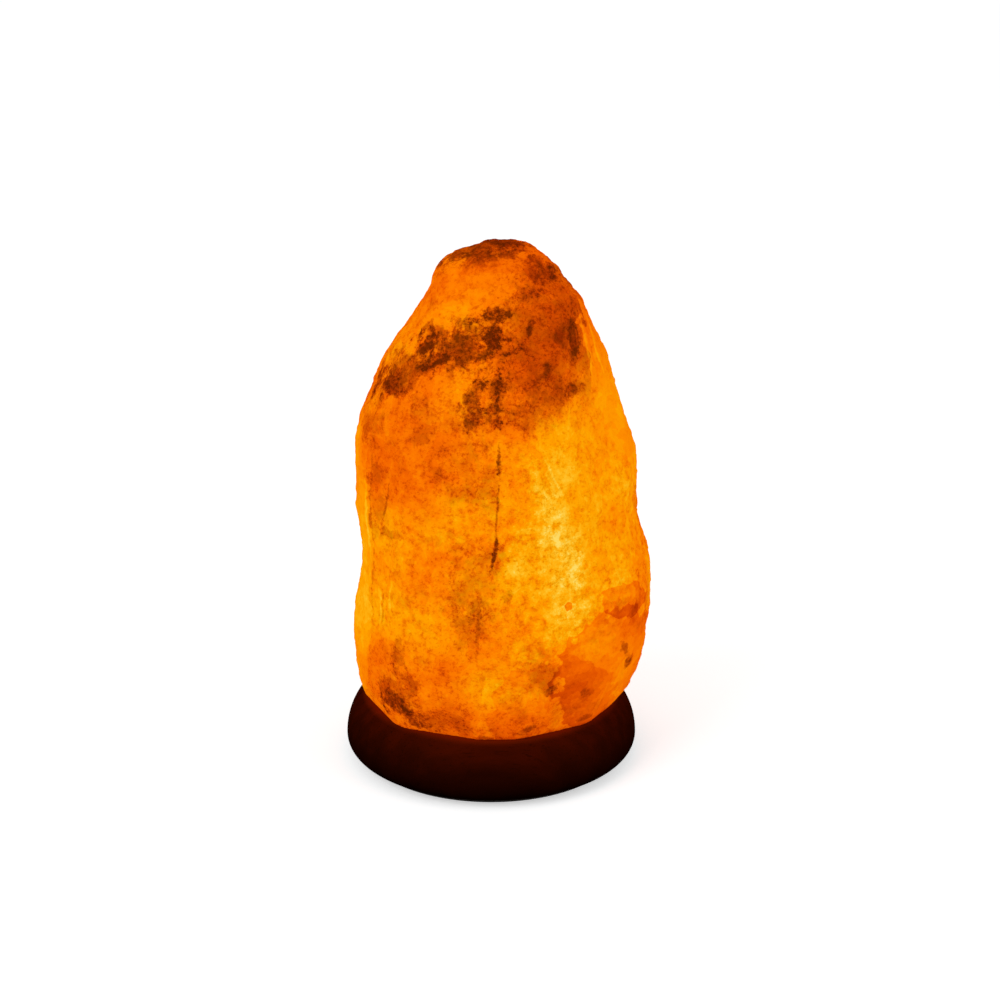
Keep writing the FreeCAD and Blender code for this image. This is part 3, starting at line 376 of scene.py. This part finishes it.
# Clearer and darker places in the salt: the middle of each across, into and up the sheets, how
# far it reaches each way, its turn in degrees, its edge, and what it adds to the light that comes
# through, to the clay and to the graininess of the skin.
PLACES = [
    ("glow window", (33.5, -80, -20.5), (25.5, 60, 43), -8, "soft", (0.12, -0.06, 0.1)),
    ("hot spot", (29.5, -80, -25.5), (10, 40, 18), -4, "soft", (0.11, -0.05, 0)),
    ("bright vein", (25.5, -80, -6), (6, 40, 24), -24, "soft", (0.12, 0, 0.1)),
    ("bright flake", (15.5, -80, -21.5), (12.5, 40, 9), -30, "crisp", (0.07, 0, 0)),
    ("amber by the window", (20.5, -80, -37), (17.5, 50, 25.5), -16, "soft", (0.1, -0.05, 0)),
    ("amber right side", (41, -70, 8.5), (25.5, 60, 45.5), -5, "soft", (0.08, -0.15, -0.2)),
    ("left yellow spot", (-24.5, -80, -6.5), (17.5, 40, 14), -20, "soft", (0.15, -0.03, 0)),
    ("amber below", (-8, -80, -49), (40.5, 60, 34.5), 0, "soft", (0.06, -0.02, 0)),
    ("clear patch by the crown", (-7, -60, 86), (22.5, 60, 11), -22, "ragged", (0, -0.5, -0.35)),
    ("right facet", (58.5, -60, 55.5), (17.5, 90, 48), -16, "crisp", (0.06, -0.6, -0.6)),
    ("left facet", (-58, -60, -25), (7.5, 90, 62), 0, "crisp", (0.08, -0.3, -0.5)),
    ("iron in the left shoulder", (-36.5, -70, 20.5), (22.5, 60, 34.5), 0, "soft", (-0.1, 0, -0.1)),
    ("iron low on the left", (-36, -60, -78.5), (25, 60, 20.5), 10, "soft", (-0.16, 0.03, 0.1)),
    ("iron at the foot", (4, -50, -96), (53.5, 60, 13), 0, "soft", (-0.13, 0.02, 0.1)),
    ("flake low on the right", (58, -70, -77.5), (28, 70, 32), -10, "crisp", (-0.26, 0.02, -0.6)),
    ("flake beside it", (28.5, -70, -87.5), (26.5, 70, 20.5), 0, "crisp", (-0.12, 0.03, -0.1)),
    ("step above it", (30, -75, -50.5), (19, 60, 11), -34, "crisp", (-0.07, 0, -0.2)),
    ("amber low on the right", (52.5, -70, -72.5), (34.5, 70, 34.5), 0, "soft", (0.14, 0, 0)),
    ("thick patch, right edge", (55, -60, -41), (9.5, 60, 6.5), -4, "crisp", (-0.24, 0.06, -0.4)),
    ("iron in the right shoulder", (23.5, -70, 62), (25.5, 70, 33), 8, "soft", (-0.16, 0.36, 0.2)),
    ("crown", (-3.5, -40, 105), (30.5, 90, 14), -16, "ragged", (-0.12, 0.84, -0.35)),
    ("crown, right of the patch", (18.5, -50, 92.5), (10, 70, 9), 0, "ragged", (-0.1, 0.34, 0.1)),
    ("crown, darkest", (28, -40, 91.5), (6, 60, 7), -30, "ragged", (-0.05, 0.34, 0.1)),
    ("band below the crown", (14, -60, 83.5), (10, 60, 4.5), -20, "ragged", (-0.08, 0.36, 0.1)),
    ("clay band, left end", (-32.5, -65, 53.5), (19, 70, 10), -26, "ragged", (-0.08, 0.52, 0.2)),
    ("clay band, far left", (-41.5, -55, 49), (6.5, 70, 7.5), -30, "ragged", (-0.06, 0.34, 0.2)),
    ("clay band, middle", (-10, -70, 62), (22.5, 80, 13), -10, "ragged", (-0.08, 0.84, 0.2)),
    ("clay band, right end", (1.5, -70, 73.5), (10, 80, 4.5), -16, "ragged", (-0.05, 0.6, 0.2)),
    ("clay band, right middle", (2.5, -70, 65.5), (10.5, 80, 6), -10, "ragged", (-0.05, 0.24, 0.2)),
    ("clay streak", (33, -60, 67), (2.5, 70, 12.5), -4, "ragged", (-0.06, 0.52, 0)),
    ("clay streak", (28, -65, 66), (2, 60, 10.5), -3, "ragged", (-0.05, 0.3, 0)),
    ("clay streak", (16, -70, 70), (2, 60, 5.5), 16, "ragged", (-0.04, 0.5, 0)),
    ("clay streak", (22.5, -70, 51), (2.5, 60, 6), 10, "ragged", (-0.04, 0.42, 0)),
    ("clay streak", (33.5, -65, 44.5), (5, 60, 3.5), -30, "ragged", (-0.04, 0.36, 0)),
    ("clay below the shoulder", (21, -75, 38), (16.5, 60, 10.5), -38, "ragged", (-0.08, 0.24, 0)),
    ("clay spot", (-7, -80, 36.5), (6, 50, 11.5), 8, "ragged", (-0.05, 0.62, 0.2)),
    ("clay spot", (2.5, -80, 40), (6, 50, 15.5), 6, "ragged", (-0.05, 0.66, 0.2)),
    ("murk between the spots", (-2, -80, 31), (15, 50, 12.5), 0, "ragged", (-0.04, 0.22, 0.2)),
    ("murk beside the crack", (-6, -80, -33), (14, 60, 18), 10, "ragged", (-0.02, 0.28, 0.2)),
    ("murk below the crack", (-8, -80, -53), (8.5, 60, 12.5), 10, "ragged", (-0.02, 0.26, 0.2)),
    ("murk above it", (-10, -80, 9), (16.5, 60, 15), 0, "ragged", (-0.02, 0.22, 0.3)),
    ("freckles on the left", (-27, -75, 32), (7.5, 60, 10.5), -20, "ragged", (-0.03, 0.24, 0.2)),
    ("clay on the left edge", (-49, -50, 31), (6.5, 60, 16.5), 16, "ragged", (-0.05, 0.26, 0)),
    ("clay on the left edge", (-47, -60, 0), (5, 60, 20.5), 4, "ragged", (-0.04, 0.22, 0)),
    ("smudge on the left", (-41, -60, -12.5), (7.5, 60, 2.5), 20, "ragged", (-0.03, 0.3, 0)),
    ("smudge low left", (-38, -80, -64), (4, 40, 6.5), 0, "ragged", (-0.02, 0.34, 0.2)),
    ("smudge low left", (-36, -70, -87.5), (12.5, 50, 5), 30, "ragged", (-0.08, 0.56, 0)),
    ("smudge low left", (-39.5, -70, -79.5), (13, 50, 10), 10, "ragged", (-0.1, 0.36, 0)),
    ("smudge low left", (-21, -60, -91.5), (16.5, 40, 5), 12, "ragged", (-0.03, 0.2, 0.1)),
    ("smudge low middle", (21.5, -80, -69.5), (8.5, 40, 11), -20, "ragged", (-0.01, 0.24, 0.1)),
    ("smudge low middle", (25.5, -80, -78.5), (4, 40, 1.5), -20, "ragged", (-0.02, 0.36, 0)),
    ("smudge low right", (41, -80, -81), (3, 40, 2.5), -30, "ragged", (0, 0.36, 0)),
    ("smudge low right", (16.5, -80, -93.5), (4.5, 40, 1.5), -30, "ragged", (-0.03, 0.5, 0)),
    ("smudge at the foot", (40, -60, -90.5), (4, 40, 1.5), -16, "ragged", (-0.02, 0.3, 0)),
    ("smudge at the foot", (-1.5, -60, -98), (5, 40, 1.5), 0, "ragged", (-0.02, 0.5, 0)),
    ("smudge by the bright vein", (8, -80, -39.5), (3.5, 40, 3.5), -16, "ragged", (-0.03, 0.42, 0)),
    ("smudge at the right edge", (55.5, -70, -62), (1.5, 50, 6.5), -12, "ragged", (0, 0.5, 0)),
    ("smudge at the right edge", (57, -70, -69), (1.5, 50, 5), 14, "ragged", (-0.05, 0.6, 0)),
    ("iron grain", (32.5, -90, -44), (1.5, 40, 1.5), 0, "crisp", (-0.34, 0, 0)),
    ("clay through the back", (12, 45, 41.5), (33, 60, 10.5), 18, "ragged", (-0.08, 0.44, 0.2)),
    ("clay through the back", (-27, 40, -37), (14, 50, 19), -20, "ragged", (-0.05, 0.34, 0.2)),
    ("clay up the right side", (61.5, -20, 0), (16.5, 40, 12.5), -20, "ragged", (-0.08, 0.26, 0.1)),
    ("clear back", (-8.5, 50, 12.5), (25, 60, 29), 10, "soft", (0.1, -0.1, 0.1)),
    ("clear back", (28.5, 50, -49.5), (20.5, 60, 20.5), 0, "soft", (0.1, -0.1, 0)),
]
# What bites into each kind of edge, how deep, and the bounds between which the edge fades, all in
# shares of the place's reach.
EDGES = {
    "soft": (speckle, -0.85, 0.72, -0.18),
    "ragged": (blots, -2.4, -0.38, -1.00),
    "crisp": (bites, -0.32, 0.73, 0.69),
    "line": (grains.outputs["Fac"], -1.0, 0.45, -0.15),
}
LOT = 20                        # how many shapes Cycles takes on at a time


def add_marks(marks, shapes, space):
    """Adds what each shape gives to the marks, inside its edge. Cycles has room for few results
    at a time, so before each lot of shapes the coordinates wait for the sum so far: they take it
    in, times nought."""
    for number, (name, middle, reach, turn, edge, amounts) in enumerate(shapes):
        teeth, bite, out, full = EDGES[edge]
        if number % LOT == 0:
            waited = add(tree, "VectorMath", {0: marks, 1: (0, 0, 0), 2: space},
                         operation="MULTIPLY_ADD")
        local = add(tree, "Mapping", {
            "Vector": waited.outputs[0], "Location": [at * MM for at in middle],
            "Rotation": (0, math.radians(turn), 0), "Scale": [at * MM for at in reach],
        }, vector_type="TEXTURE", label=name)
        distance = add(tree, "VectorMath", {0: local.outputs[0]}, operation="LENGTH")
        uneven = add(tree, "Math", {0: teeth, 1: bite, 2: distance.outputs["Value"]},
                     operation="MULTIPLY_ADD")
        inside = add(tree, "MapRange", {
            "Value": uneven.outputs[0], "From Min": out, "From Max": full,
        }, interpolation_type="SMOOTHSTEP")
        marks = add(tree, "VectorMath", {0: inside.outputs[0], 1: amounts, 2: marks},
                    operation="MULTIPLY_ADD").outputs[0]
    return marks


marks = add(tree, "CombineXYZ", {"X": glow.outputs[0]}).outputs[0]
marks = add_marks(marks, PLACES, sheets)

# Fine lines stand upright in the front: dark hair cracks, and ridges that the light catches. Each
# has its middle, reach and turn, and what it adds, as the places have.
LINES = [
    ("crack", (3.5, -80, 15.5), (1.4, 60, 8.5), 0, "line", (-0.05, 0.85, 0.1)),
    ("crack", (2.5, -80, -4), (0.9, 60, 16.5), 2, "line", (-0.02, 0.45, 0.1)),
    ("crack", (1, -80, -22), (1.3, 60, 10.5), 8, "line", (-0.05, 0.8, 0.1)),
    ("crack", (-4.5, -80, -51.7), (1.2, 60, 16.5), 6, "line", (-0.02, 0.26, 0.1)),
    ("crack", (2.6, -80, 44.6), (1.2, 60, 8.26), 6, "line", (-0.05, 0.5, 0.1)),
    ("crack", (-42.5, -80, 0), (0.83, 60, 11.2), 11, "line", (-0.02, 0.46, 0)),
    ("crack", (-49.5, -80, -18.6), (0.7, 60, 57.9), 0, "line", (-0.02, 0.26, 0)),
    ("ridge", (-51.2, -80, -8.3), (0.7, 60, 33.1), -1, "line", (0.16, -0.1, 0)),
    ("ridge", (-45.8, -80, -45.5), (0.74, 60, 14), 3, "line", (0.14, -0.1, 0)),
    ("ridge", (-41.2, -80, -41.3), (0.66, 60, 11.6), 0, "line", (0.12, -0.1, 0)),
    ("crack", (-44.5, -80, -43.8), (0.74, 60, 10.7), 3, "line", (-0.02, 0.3, 0)),
    ("ridge", (38.1, -80, 64), (0.74, 60, 18.2), -13, "line", (0.14, -0.2, 0)),
    ("crack", (40.2, -80, 62), (0.74, 60, 19.8), -14, "line", (-0.06, 0.3, 0)),
    ("ridge", (42.2, -80, 64), (0.74, 60, 19), -15, "line", (0.14, -0.2, 0)),
    ("ridge", (25.7, -80, 9.1), (0.74, 60, 14), -26, "line", (0.12, -0.1, 0)),
]
marks = add_marks(marks, LINES, upright)
summed = add(tree, "SeparateXYZ", {"Vector": marks}).outputs
rough_skin = add(tree, "Math", {0: summed["Z"], 1: 1.0}, operation="ADD").outputs[0]
rough_skin = add(tree, "Math", {0: rough_skin, 1: 0.25}, operation="MAXIMUM").outputs[0]

# The salt splits in thin flakes. Each terrace of them lets through a little more or less than the
# next, with a crisp ragged step between and, here and there, a light rim where the step is thin.
terraces = add(tree, "TexNoise", {
    "Vector": place, "Scale": 1 / (30 * MM), "Detail": 6, "Roughness": 0.52,
})
TERRACE = 0.075                 # how much of the noise one terrace takes up
stepped = add(tree, "Math", {0: terraces.outputs["Fac"], 1: TERRACE}, operation="SNAP")
light = add(tree, "Math", {0: stepped.outputs[0], 1: 0.85, 2: summed["X"]},
            operation="MULTIPLY_ADD")
light = add(tree, "Math", {0: light.outputs[0], 1: 0.37}, operation="SUBTRACT").outputs[0]
past_step = add(tree, "Math", {0: terraces.outputs["Fac"], 1: stepped.outputs[0]},
                operation="SUBTRACT")
rim = add(tree, "MapRange", {
    "Value": past_step.outputs[0], "From Min": 0.0, "From Max": 0.004,
    "To Min": 0.09, "To Max": 0.0,
})
here_and_there = add(tree, "MapRange", {
    "Value": clouds.outputs["Fac"], "From Min": 0.50, "From Max": 0.62,
})
light = add(tree, "Math", {0: rim.outputs[0], 1: here_and_there.outputs[0], 2: light},
            operation="MULTIPLY_ADD").outputs[0]
uneven_light = add(tree, "MapRange", {
    "Value": speckle, "From Min": 0.50, "From Max": 1.05, "To Min": -0.12, "To Max": 0.11,
}, clamp=False)
light = add(tree, "Math", {0: uneven_light.outputs[0], 1: rough_skin, 2: light},
            operation="MULTIPLY_ADD").outputs[0]
# Where the salt stands on the wood, its foot is a little dimmer.
foot = add(tree, "SeparateXYZ", {"Vector": place}).outputs["Z"]
dim_foot = add(tree, "MapRange", {
    "Value": foot, "From Min": SEAT, "From Max": SEAT + 3 * MM, "To Min": -0.10, "To Max": 0.0,
})
light = add(tree, "Math", {0: light, 1: dim_foot.outputs[0]}, operation="ADD").outputs[0]

# Clay is opaque, so it only dims the glow. It gathers where the clouds of it are thick, mottled
# by the crystals it lies between, and fine dark grains of it lie over the whole skin.
cloudy = add(tree, "MapRange", {
    "Value": clouds.outputs["Fac"], "From Min": 0.3, "From Max": 0.7,
    "To Min": -0.30, "To Max": 0.26,
}, clamp=False)
mottled = add(tree, "MapRange", {
    "Value": speckle, "From Min": 0.50, "From Max": 1.05, "To Min": 0.3, "To Max": 1.7,
}, clamp=False)
thick = add(tree, "Math", {0: summed["Y"], 1: mottled.outputs[0], 2: cloudy.outputs[0]},
            operation="MULTIPLY_ADD")
smoky = add(tree, "MapRange", {
    "Value": thick.outputs[0], "From Min": 0.02, "From Max": 1.10, "To Min": 0.0, "To Max": 0.80,
})
peppered = add(tree, "Math", {0: crystals.outputs["Fac"], 1: -0.75, 2: grains.outputs["Fac"]},
               operation="MULTIPLY_ADD")
pepper = add(tree, "MapRange", {
    "Value": peppered.outputs[0], "From Min": 0.12, "From Max": 0.34, "To Min": 0.0, "To Max": 0.34,
})
pepper = add(tree, "Math", {0: pepper.outputs[0], 1: rough_skin}, operation="MULTIPLY")

# Salt with iron in it lets through red first, then orange, and yellow only where it is clear.
light = add(tree, "Math", {0: pepper.outputs[0], 1: -0.6, 2: light},
            operation="MULTIPLY_ADD").outputs[0]
light = add(tree, "Math", {0: smoky.outputs[0], 1: -0.30, 2: light},
            operation="MULTIPLY_ADD").outputs[0]
warm = ramp(tree, light, [
    (0.00, "#b23000"), (0.18, "#da4c00"), (0.34, "#f26600"), (0.48, "#fc7e00"), (0.60, "#ff9300"),
    (0.72, "#ffa800"), (0.83, "#ffbb1a"), (0.92, "#ffcd3c"), (1.00, "#ffe06c"),
])
clear_of_clay = add(tree, "Math", {0: 1.0, 1: smoky.outputs[0]}, operation="SUBTRACT")
clear_of_pepper = add(tree, "Math", {0: pepper.outputs[0], 1: -0.6, 2: 1.0},
                      operation="MULTIPLY_ADD")
kept = add(tree, "Math", {0: clear_of_clay.outputs[0], 1: clear_of_pepper.outputs[0]},
           operation="MULTIPLY")
colour = add(tree, "VectorMath", {0: warm, 1: kept.outputs[0]}, operation="MULTIPLY").outputs[0]

# Lit from outside as well, the skin is a deeper amber, with a faint waxy sheen. That amber is the
# glow's own colour darkened, so the bulb's light, with its bright spots, light rims and dimmer
# foot, is painted into the skin's colour too.
glow_painted_body_colour = add(tree, "VectorMath", {0: colour, 1: (0.30, 0.24, 0.10)}, operation="MULTIPLY")
skin = add(tree, "Math", {0: crystals.outputs["Fac"], 1: 0.6, 2: grains.outputs["Fac"]},
           operation="MULTIPLY_ADD")
bump = add(tree, "Bump", {"Height": skin.outputs[0], "Strength": 0.55, "Distance": 0.6 * MM})
crystal = add(tree, "BsdfPrincipled", {
    "Base Color": glow_painted_body_colour.outputs[0], "Roughness": 0.62, "IOR": 1.54, "Specular IOR Level": 0.0,
    "Normal": bump.outputs["Normal"], "Emission Color": colour, "Emission Strength": 0.76,
})
sheen = add(tree, "BsdfGlossy", {
    "Color": linear("#ff8a14"), "Roughness": 0.45, "Normal": bump.outputs["Normal"],
})
waxed = add(tree, "MixShader", {0: 0.03, 1: crystal.outputs["BSDF"], 2: sheen.outputs["BSDF"]})
tree.links.new(waxed.outputs[0], output.inputs["Surface"])
cover(block, salt)
cover(cad_block, salt)
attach(block, "stand")
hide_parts("salt_crystal")


# ---- Spring clip, nipple and nut ---------------------------------------------------------------
# The clip is one strip of hardened spring steel with a thin blue-grey oxide, brushed along its
# length. The nipple and its nut are turned from brass and nickel plated, a warm soft silver.

spring, tree, output = finish_named("oiled_spring_steel")
place = add(tree, "TexCoord").outputs["Object"]
# Brushing strokes run up the strip, about 0.3 mm apart.
strokes = add(tree, "Mapping", {"Vector": place, "Scale": (0.3, 1.0, 0.05)})
brushed = add(tree, "TexNoise", {
    "Vector": strokes.outputs[0], "Scale": 1 / (0.3 * MM), "Detail": 2,
})
colour = ramp(tree, brushed.outputs["Fac"], [(0.3, "#565b62"), (0.7, "#7b8087")])
dullness = add(tree, "MapRange", {"Value": brushed.outputs["Fac"], "To Min": 0.22, "To Max": 0.45})
steel = add(tree, "BsdfPrincipled", {
    "Base Color": colour, "Metallic": 1.0, "Roughness": dullness.outputs[0],
})
tree.links.new(steel.outputs["BSDF"], output.inputs["Surface"])
for name in ("clip_saddle", "clip_wing_left", "clip_wing_right"):
    cover(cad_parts[name], spring)

nickel, tree, output = finish_named("nickel_plated_brass")
place = add(tree, "TexCoord").outputs["Object"]
# Soft rings round the nipple, 2 pi times 1 mm apart. They are coarser than its thread.
crests = add(tree, "TexWave", {"Vector": place, "Scale": 1 / (1.0 * MM * WAVE)},
             wave_type="BANDS", bands_direction="Z")
handled = add(tree, "TexNoise", {"Vector": place, "Scale": 1 / (2 * MM), "Detail": 3})
bump = add(tree, "Bump", {"Height": crests.outputs["Fac"], "Strength": 0.5, "Distance": 0.3 * MM})
colour = ramp(tree, handled.outputs["Fac"], [(0.35, "#b0aa9c"), (0.65, "#cdc8bb")])
dullness = add(tree, "MapRange", {"Value": handled.outputs["Fac"], "To Min": 0.16, "To Max": 0.36})
turned_nickel = add(tree, "BsdfPrincipled", {
    "Base Color": colour, "Metallic": 1.0, "Roughness": dullness.outputs[0],
    "Normal": bump.outputs["Normal"],
})
tree.links.new(turned_nickel.outputs["BSDF"], output.inputs["Surface"])
for name in ("nipple", "nipple_nut"):
    cover(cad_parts[name], nickel)


# ---- Lampholder --------------------------------------------------------------------------------
# Cap and shell are pressed from black phenolic resin, which is glossy, very slightly brown and
# mottled by its wood-flour filler. Inside, a disc of pale unglazed steatite carries the brass
# contacts, whose bare metal has gone a little dull.

phenolic, tree, output = finish_named("pressed_phenolic")
place = add(tree, "TexCoord").outputs["Object"]
filler = add(tree, "TexNoise", {
    "Vector": place, "Scale": 1 / (1.2 * MM), "Detail": 4, "Roughness": 0.7,
})
colour = ramp(tree, filler.outputs["Fac"], [(0.35, "#0f0c0a"), (0.65, "#1c1713")])
dullness = add(tree, "MapRange", {"Value": filler.outputs["Fac"], "To Min": 0.16, "To Max": 0.34})
peel = add(tree, "Bump", {"Height": filler.outputs["Fac"], "Strength": 0.12, "Distance": 0.1 * MM})
resin = add(tree, "BsdfPrincipled", {
    "Base Color": colour, "Roughness": dullness.outputs[0], "IOR": 1.6,
    "Normal": peel.outputs["Normal"],
})
tree.links.new(resin.outputs["BSDF"], output.inputs["Surface"])
for name in ("holder_cap", "holder_shell"):
    cover(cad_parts[name], phenolic)

steatite, tree, output = finish_named("unglazed_steatite")
place = add(tree, "TexCoord").outputs["Object"]
fired = add(tree, "TexNoise", {"Vector": place, "Scale": 1 / (0.8 * MM), "Detail": 5})
colour = ramp(tree, fired.outputs["Fac"], [(0.3, "#cfc6b2"), (0.7, "#e4ddcc")])
tooth = add(tree, "Bump", {"Height": fired.outputs["Fac"], "Strength": 0.25, "Distance": 0.1 * MM})
biscuit = add(tree, "BsdfPrincipled", {
    "Base Color": colour, "Roughness": 0.75, "Normal": tooth.outputs["Normal"],
})
tree.links.new(biscuit.outputs["BSDF"], output.inputs["Surface"])
cover(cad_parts["contact_insert"], steatite)

brass, tree, output = finish_named("bare_contact_brass")
place = add(tree, "TexCoord").outputs["Object"]
tarnish = add(tree, "TexNoise", {"Vector": place, "Scale": 1 / (1.8 * MM), "Detail": 4})
colour = ramp(tree, tarnish.outputs["Fac"], [(0.3, "#a87f3c"), (0.55, "#cfa659"), (0.8, "#dcb96c")])
dullness = add(tree, "MapRange", {"Value": tarnish.outputs["Fac"], "To Min": 0.42, "To Max": 0.2})
sheet = add(tree, "BsdfPrincipled", {
    "Base Color": colour, "Metallic": 1.0, "Roughness": dullness.outputs[0],
})
tree.links.new(sheet.outputs["BSDF"], output.inputs["Surface"])
BRASS_PARTS = ("terminal_blocks", "terminal_screws", "contact_rivets", "centre_contact",
               "screw_shell")
for name in BRASS_PARTS:
    cover(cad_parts[name], brass)


# ---- Bulb --------------------------------------------------------------------------------------
# A clear 15 watt pygmy bulb. Its rolled cap is nickel-plated brass, with a black glass insulator
# and a button of solder under it. The envelope is thin soda-lime glass, blown over a pressed
# glass stem that holds two nickel wires and the tungsten filament, which glows when lit.

cap_nickel, tree, output = finish_named("rolled_nickel_brass")
place = add(tree, "TexCoord").outputs["Object"]
handled = add(tree, "TexNoise", {"Vector": place, "Scale": 1 / (2.5 * MM), "Detail": 3})
colour = ramp(tree, handled.outputs["Fac"], [(0.3, "#b9b6ab"), (0.7, "#d6d3c9")])
dullness = add(tree, "MapRange", {"Value": handled.outputs["Fac"], "To Min": 0.14, "To Max": 0.30})
rolled = add(tree, "BsdfPrincipled", {
    "Base Color": colour, "Metallic": 1.0, "Roughness": dullness.outputs[0],
})
tree.links.new(rolled.outputs["BSDF"], output.inputs["Surface"])
for name in ("bulb_cap", "bulb_leads"):
    cover(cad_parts[name], cap_nickel)

tin, tree, output = finish_named("soft_solder")
place = add(tree, "TexCoord").outputs["Object"]
frosting = add(tree, "TexNoise", {"Vector": place, "Scale": 1 / (0.7 * MM), "Detail": 3})
colour = ramp(tree, frosting.outputs["Fac"], [(0.3, "#8f9090"), (0.7, "#b5b6b5")])
dullness = add(tree, "MapRange", {"Value": frosting.outputs["Fac"], "To Min": 0.30, "To Max": 0.55})
lump = add(tree, "Bump", {
    "Height": frosting.outputs["Fac"], "Strength": 0.4, "Distance": 0.15 * MM,
})
solder = add(tree, "BsdfPrincipled", {
    "Base Color": colour, "Metallic": 1.0, "Roughness": dullness.outputs[0],
    "Normal": lump.outputs["Normal"],
})
tree.links.new(solder.outputs["BSDF"], output.inputs["Surface"])
cover(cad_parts["bulb_contact"], tin)

vitrite, tree, output = finish_named("black_vitrite")
place = add(tree, "TexCoord").outputs["Object"]
ripple = add(tree, "TexNoise", {"Vector": place, "Scale": 1 / (2 * MM), "Detail": 1})
colour = ramp(tree, ripple.outputs["Fac"], [(0.3, "#08080b"), (0.7, "#12111a")])
wave = add(tree, "Bump", {"Height": ripple.outputs["Fac"], "Strength": 0.3, "Distance": 0.2 * MM})
slag = add(tree, "BsdfPrincipled", {
    "Base Color": colour, "Roughness": 0.08, "IOR": 1.55, "Normal": wave.outputs["Normal"],
})
tree.links.new(slag.outputs["BSDF"], output.inputs["Surface"])
cover(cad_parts["bulb_insulator"], vitrite)

envelope, tree, output = finish_named("blown_soda_lime_glass")
place = add(tree, "TexCoord").outputs["Object"]
# Blown glass is never quite even: slow waves, about 9 mm long, bend what shows through it.
waves = add(tree, "TexNoise", {"Vector": place, "Scale": 1 / (9 * MM), "Detail": 1})
bend = add(tree, "Bump", {"Height": waves.outputs["Fac"], "Strength": 0.10, "Distance": 0.3 * MM})
tint = ramp(tree, waves.outputs["Fac"], [(0.3, "#f7fbfa"), (0.7, "#ffffff")])
clear = add(tree, "BsdfPrincipled", {
    "Base Color": tint, "Roughness": 0.02, "IOR": 1.51, "Transmission Weight": 1.0,
    "Normal": bend.outputs["Normal"],
})
tree.links.new(clear.outputs["BSDF"], output.inputs["Surface"])
for name in ("bulb_glass", "bulb_stem"):
    cover(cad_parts[name], envelope)

tungsten, tree, output = finish_named("glowing_tungsten")
place = add(tree, "TexCoord").outputs["Object"]
# Along the coil it is hotter and cooler by turns, 2 pi times 0.4 mm apart.
turns = add(tree, "TexWave", {"Vector": place, "Scale": 1 / (0.4 * MM * WAVE)},
            wave_type="BANDS", bands_direction="X")
heat = ramp(tree, turns.outputs["Fac"], [(0.0, "#ff9a3c"), (1.0, "#ffe9b8")])
hot = add(tree, "BsdfPrincipled", {
    "Base Color": heat, "Roughness": 0.5, "Emission Color": heat, "Emission Strength": 12.0,
})
tree.links.new(hot.outputs["BSDF"], output.inputs["Surface"])
cover(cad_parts["filament"], tungsten)


# ---- Room for the picture ----------------------------------------------------------------------
# A plain white floor that keeps the lamp's shadow, soft light from a large window up to the left
# with a weaker one to the right, and the camera where the photographer stood.

FLOOR_WIDTH = 8.0
FLOOR_DROP = 0.2 * MM           # a hair below the felt, so that the two faces don't fight


def seen_directly(tree):
    """1 for rays that come from the camera, off a mirror or through glass, and 0 for the rest."""
    rays = add(tree, "LightPath").outputs
    seen = add(tree, "Math", {0: rays["Is Camera Ray"], 1: rays["Is Glossy Ray"]},
               operation="MAXIMUM")
    return add(tree, "Math", {0: seen.outputs[0], 1: rays["Is Transmission Ray"]},
               operation="MAXIMUM").outputs[0]


bpy.ops.mesh.primitive_plane_add(size=FLOOR_WIDTH, location=(0, 0, -FLOOR_DROP))
floor = bpy.context.active_object
floor.name = "floor"
paper, tree, output = finish_named("white_paper_sweep")
# It is seen as white, but lights the lamp only as pale paper does, and keeps its shadow.
matt = add(tree, "BsdfDiffuse", {"Color": linear("#ebebeb")})
lift = add(tree, "Emission", {"Color": (1, 1, 1, 1), "Strength": 0.50})
none = add(tree, "Emission", {"Color": (0, 0, 0, 1), "Strength": 0.0})
whitening = add(tree, "MixShader", {
    0: seen_directly(tree), 1: none.outputs[0], 2: lift.outputs[0],
})
both = add(tree, "AddShader", {0: matt.outputs[0], 1: whitening.outputs[0]})
tree.links.new(both.outputs[0], output.inputs["Surface"])
cover(floor, paper)

scene = bpy.context.scene
world = bpy.data.worlds.new("white_room")
scene.world = world
world.use_nodes = True
tree = world.node_tree
tree.nodes.clear()
dim = add(tree, "Background", {"Color": (1, 1, 1, 1), "Strength": 0.55})
white = add(tree, "Background", {"Color": (1, 1, 1, 1), "Strength": 1.0})
room = add(tree, "MixShader", {0: seen_directly(tree), 1: dim.outputs[0], 2: white.outputs[0]})
output = add(tree, "OutputWorld")
tree.links.new(room.outputs[0], output.inputs["Surface"])

# Each window: its place, its width and its power in watts. Both look at the middle of the lamp.
WINDOWS = [
    ("left_window", (-1.3, -1.2, 1.5), 1.4, 16.0),
    ("right_window", (1.5, -0.7, 1.0), 1.2, 6.0),
]
LAMP_MIDDLE = Vector((0, 0, 110 * MM))
for name, spot, width, power in WINDOWS:
    bpy.ops.object.light_add(type="AREA", location=spot)
    window = bpy.context.active_object
    window.name = name
    window.data.size = width
    window.data.energy = power
    towards = LAMP_MIDDLE - window.location
    window.rotation_euler = towards.to_track_quat("-Z", "Y").to_euler()

# The camera stands 1.2 m off and looks down by 20.5 degrees, through a long lens on a 36 mm sensor.
TILT = math.radians(20.5)
DISTANCE = 1.2
AIM = (3.8 * MM, 0.0, 114.3 * MM)
SENSOR = 36.0
LENS = 2.844 * SENSOR
bpy.ops.object.camera_add(
    location=(AIM[0], AIM[1] - DISTANCE * math.cos(TILT), AIM[2] + DISTANCE * math.sin(TILT)),
    rotation=(math.radians(90) - TILT, 0, 0),
)
camera = bpy.context.active_object
camera.data.sensor_width = SENSOR
camera.data.lens = LENS
camera.data.clip_end = 50.0
scene.camera = camera
scene.view_settings.view_transform = "Standard"
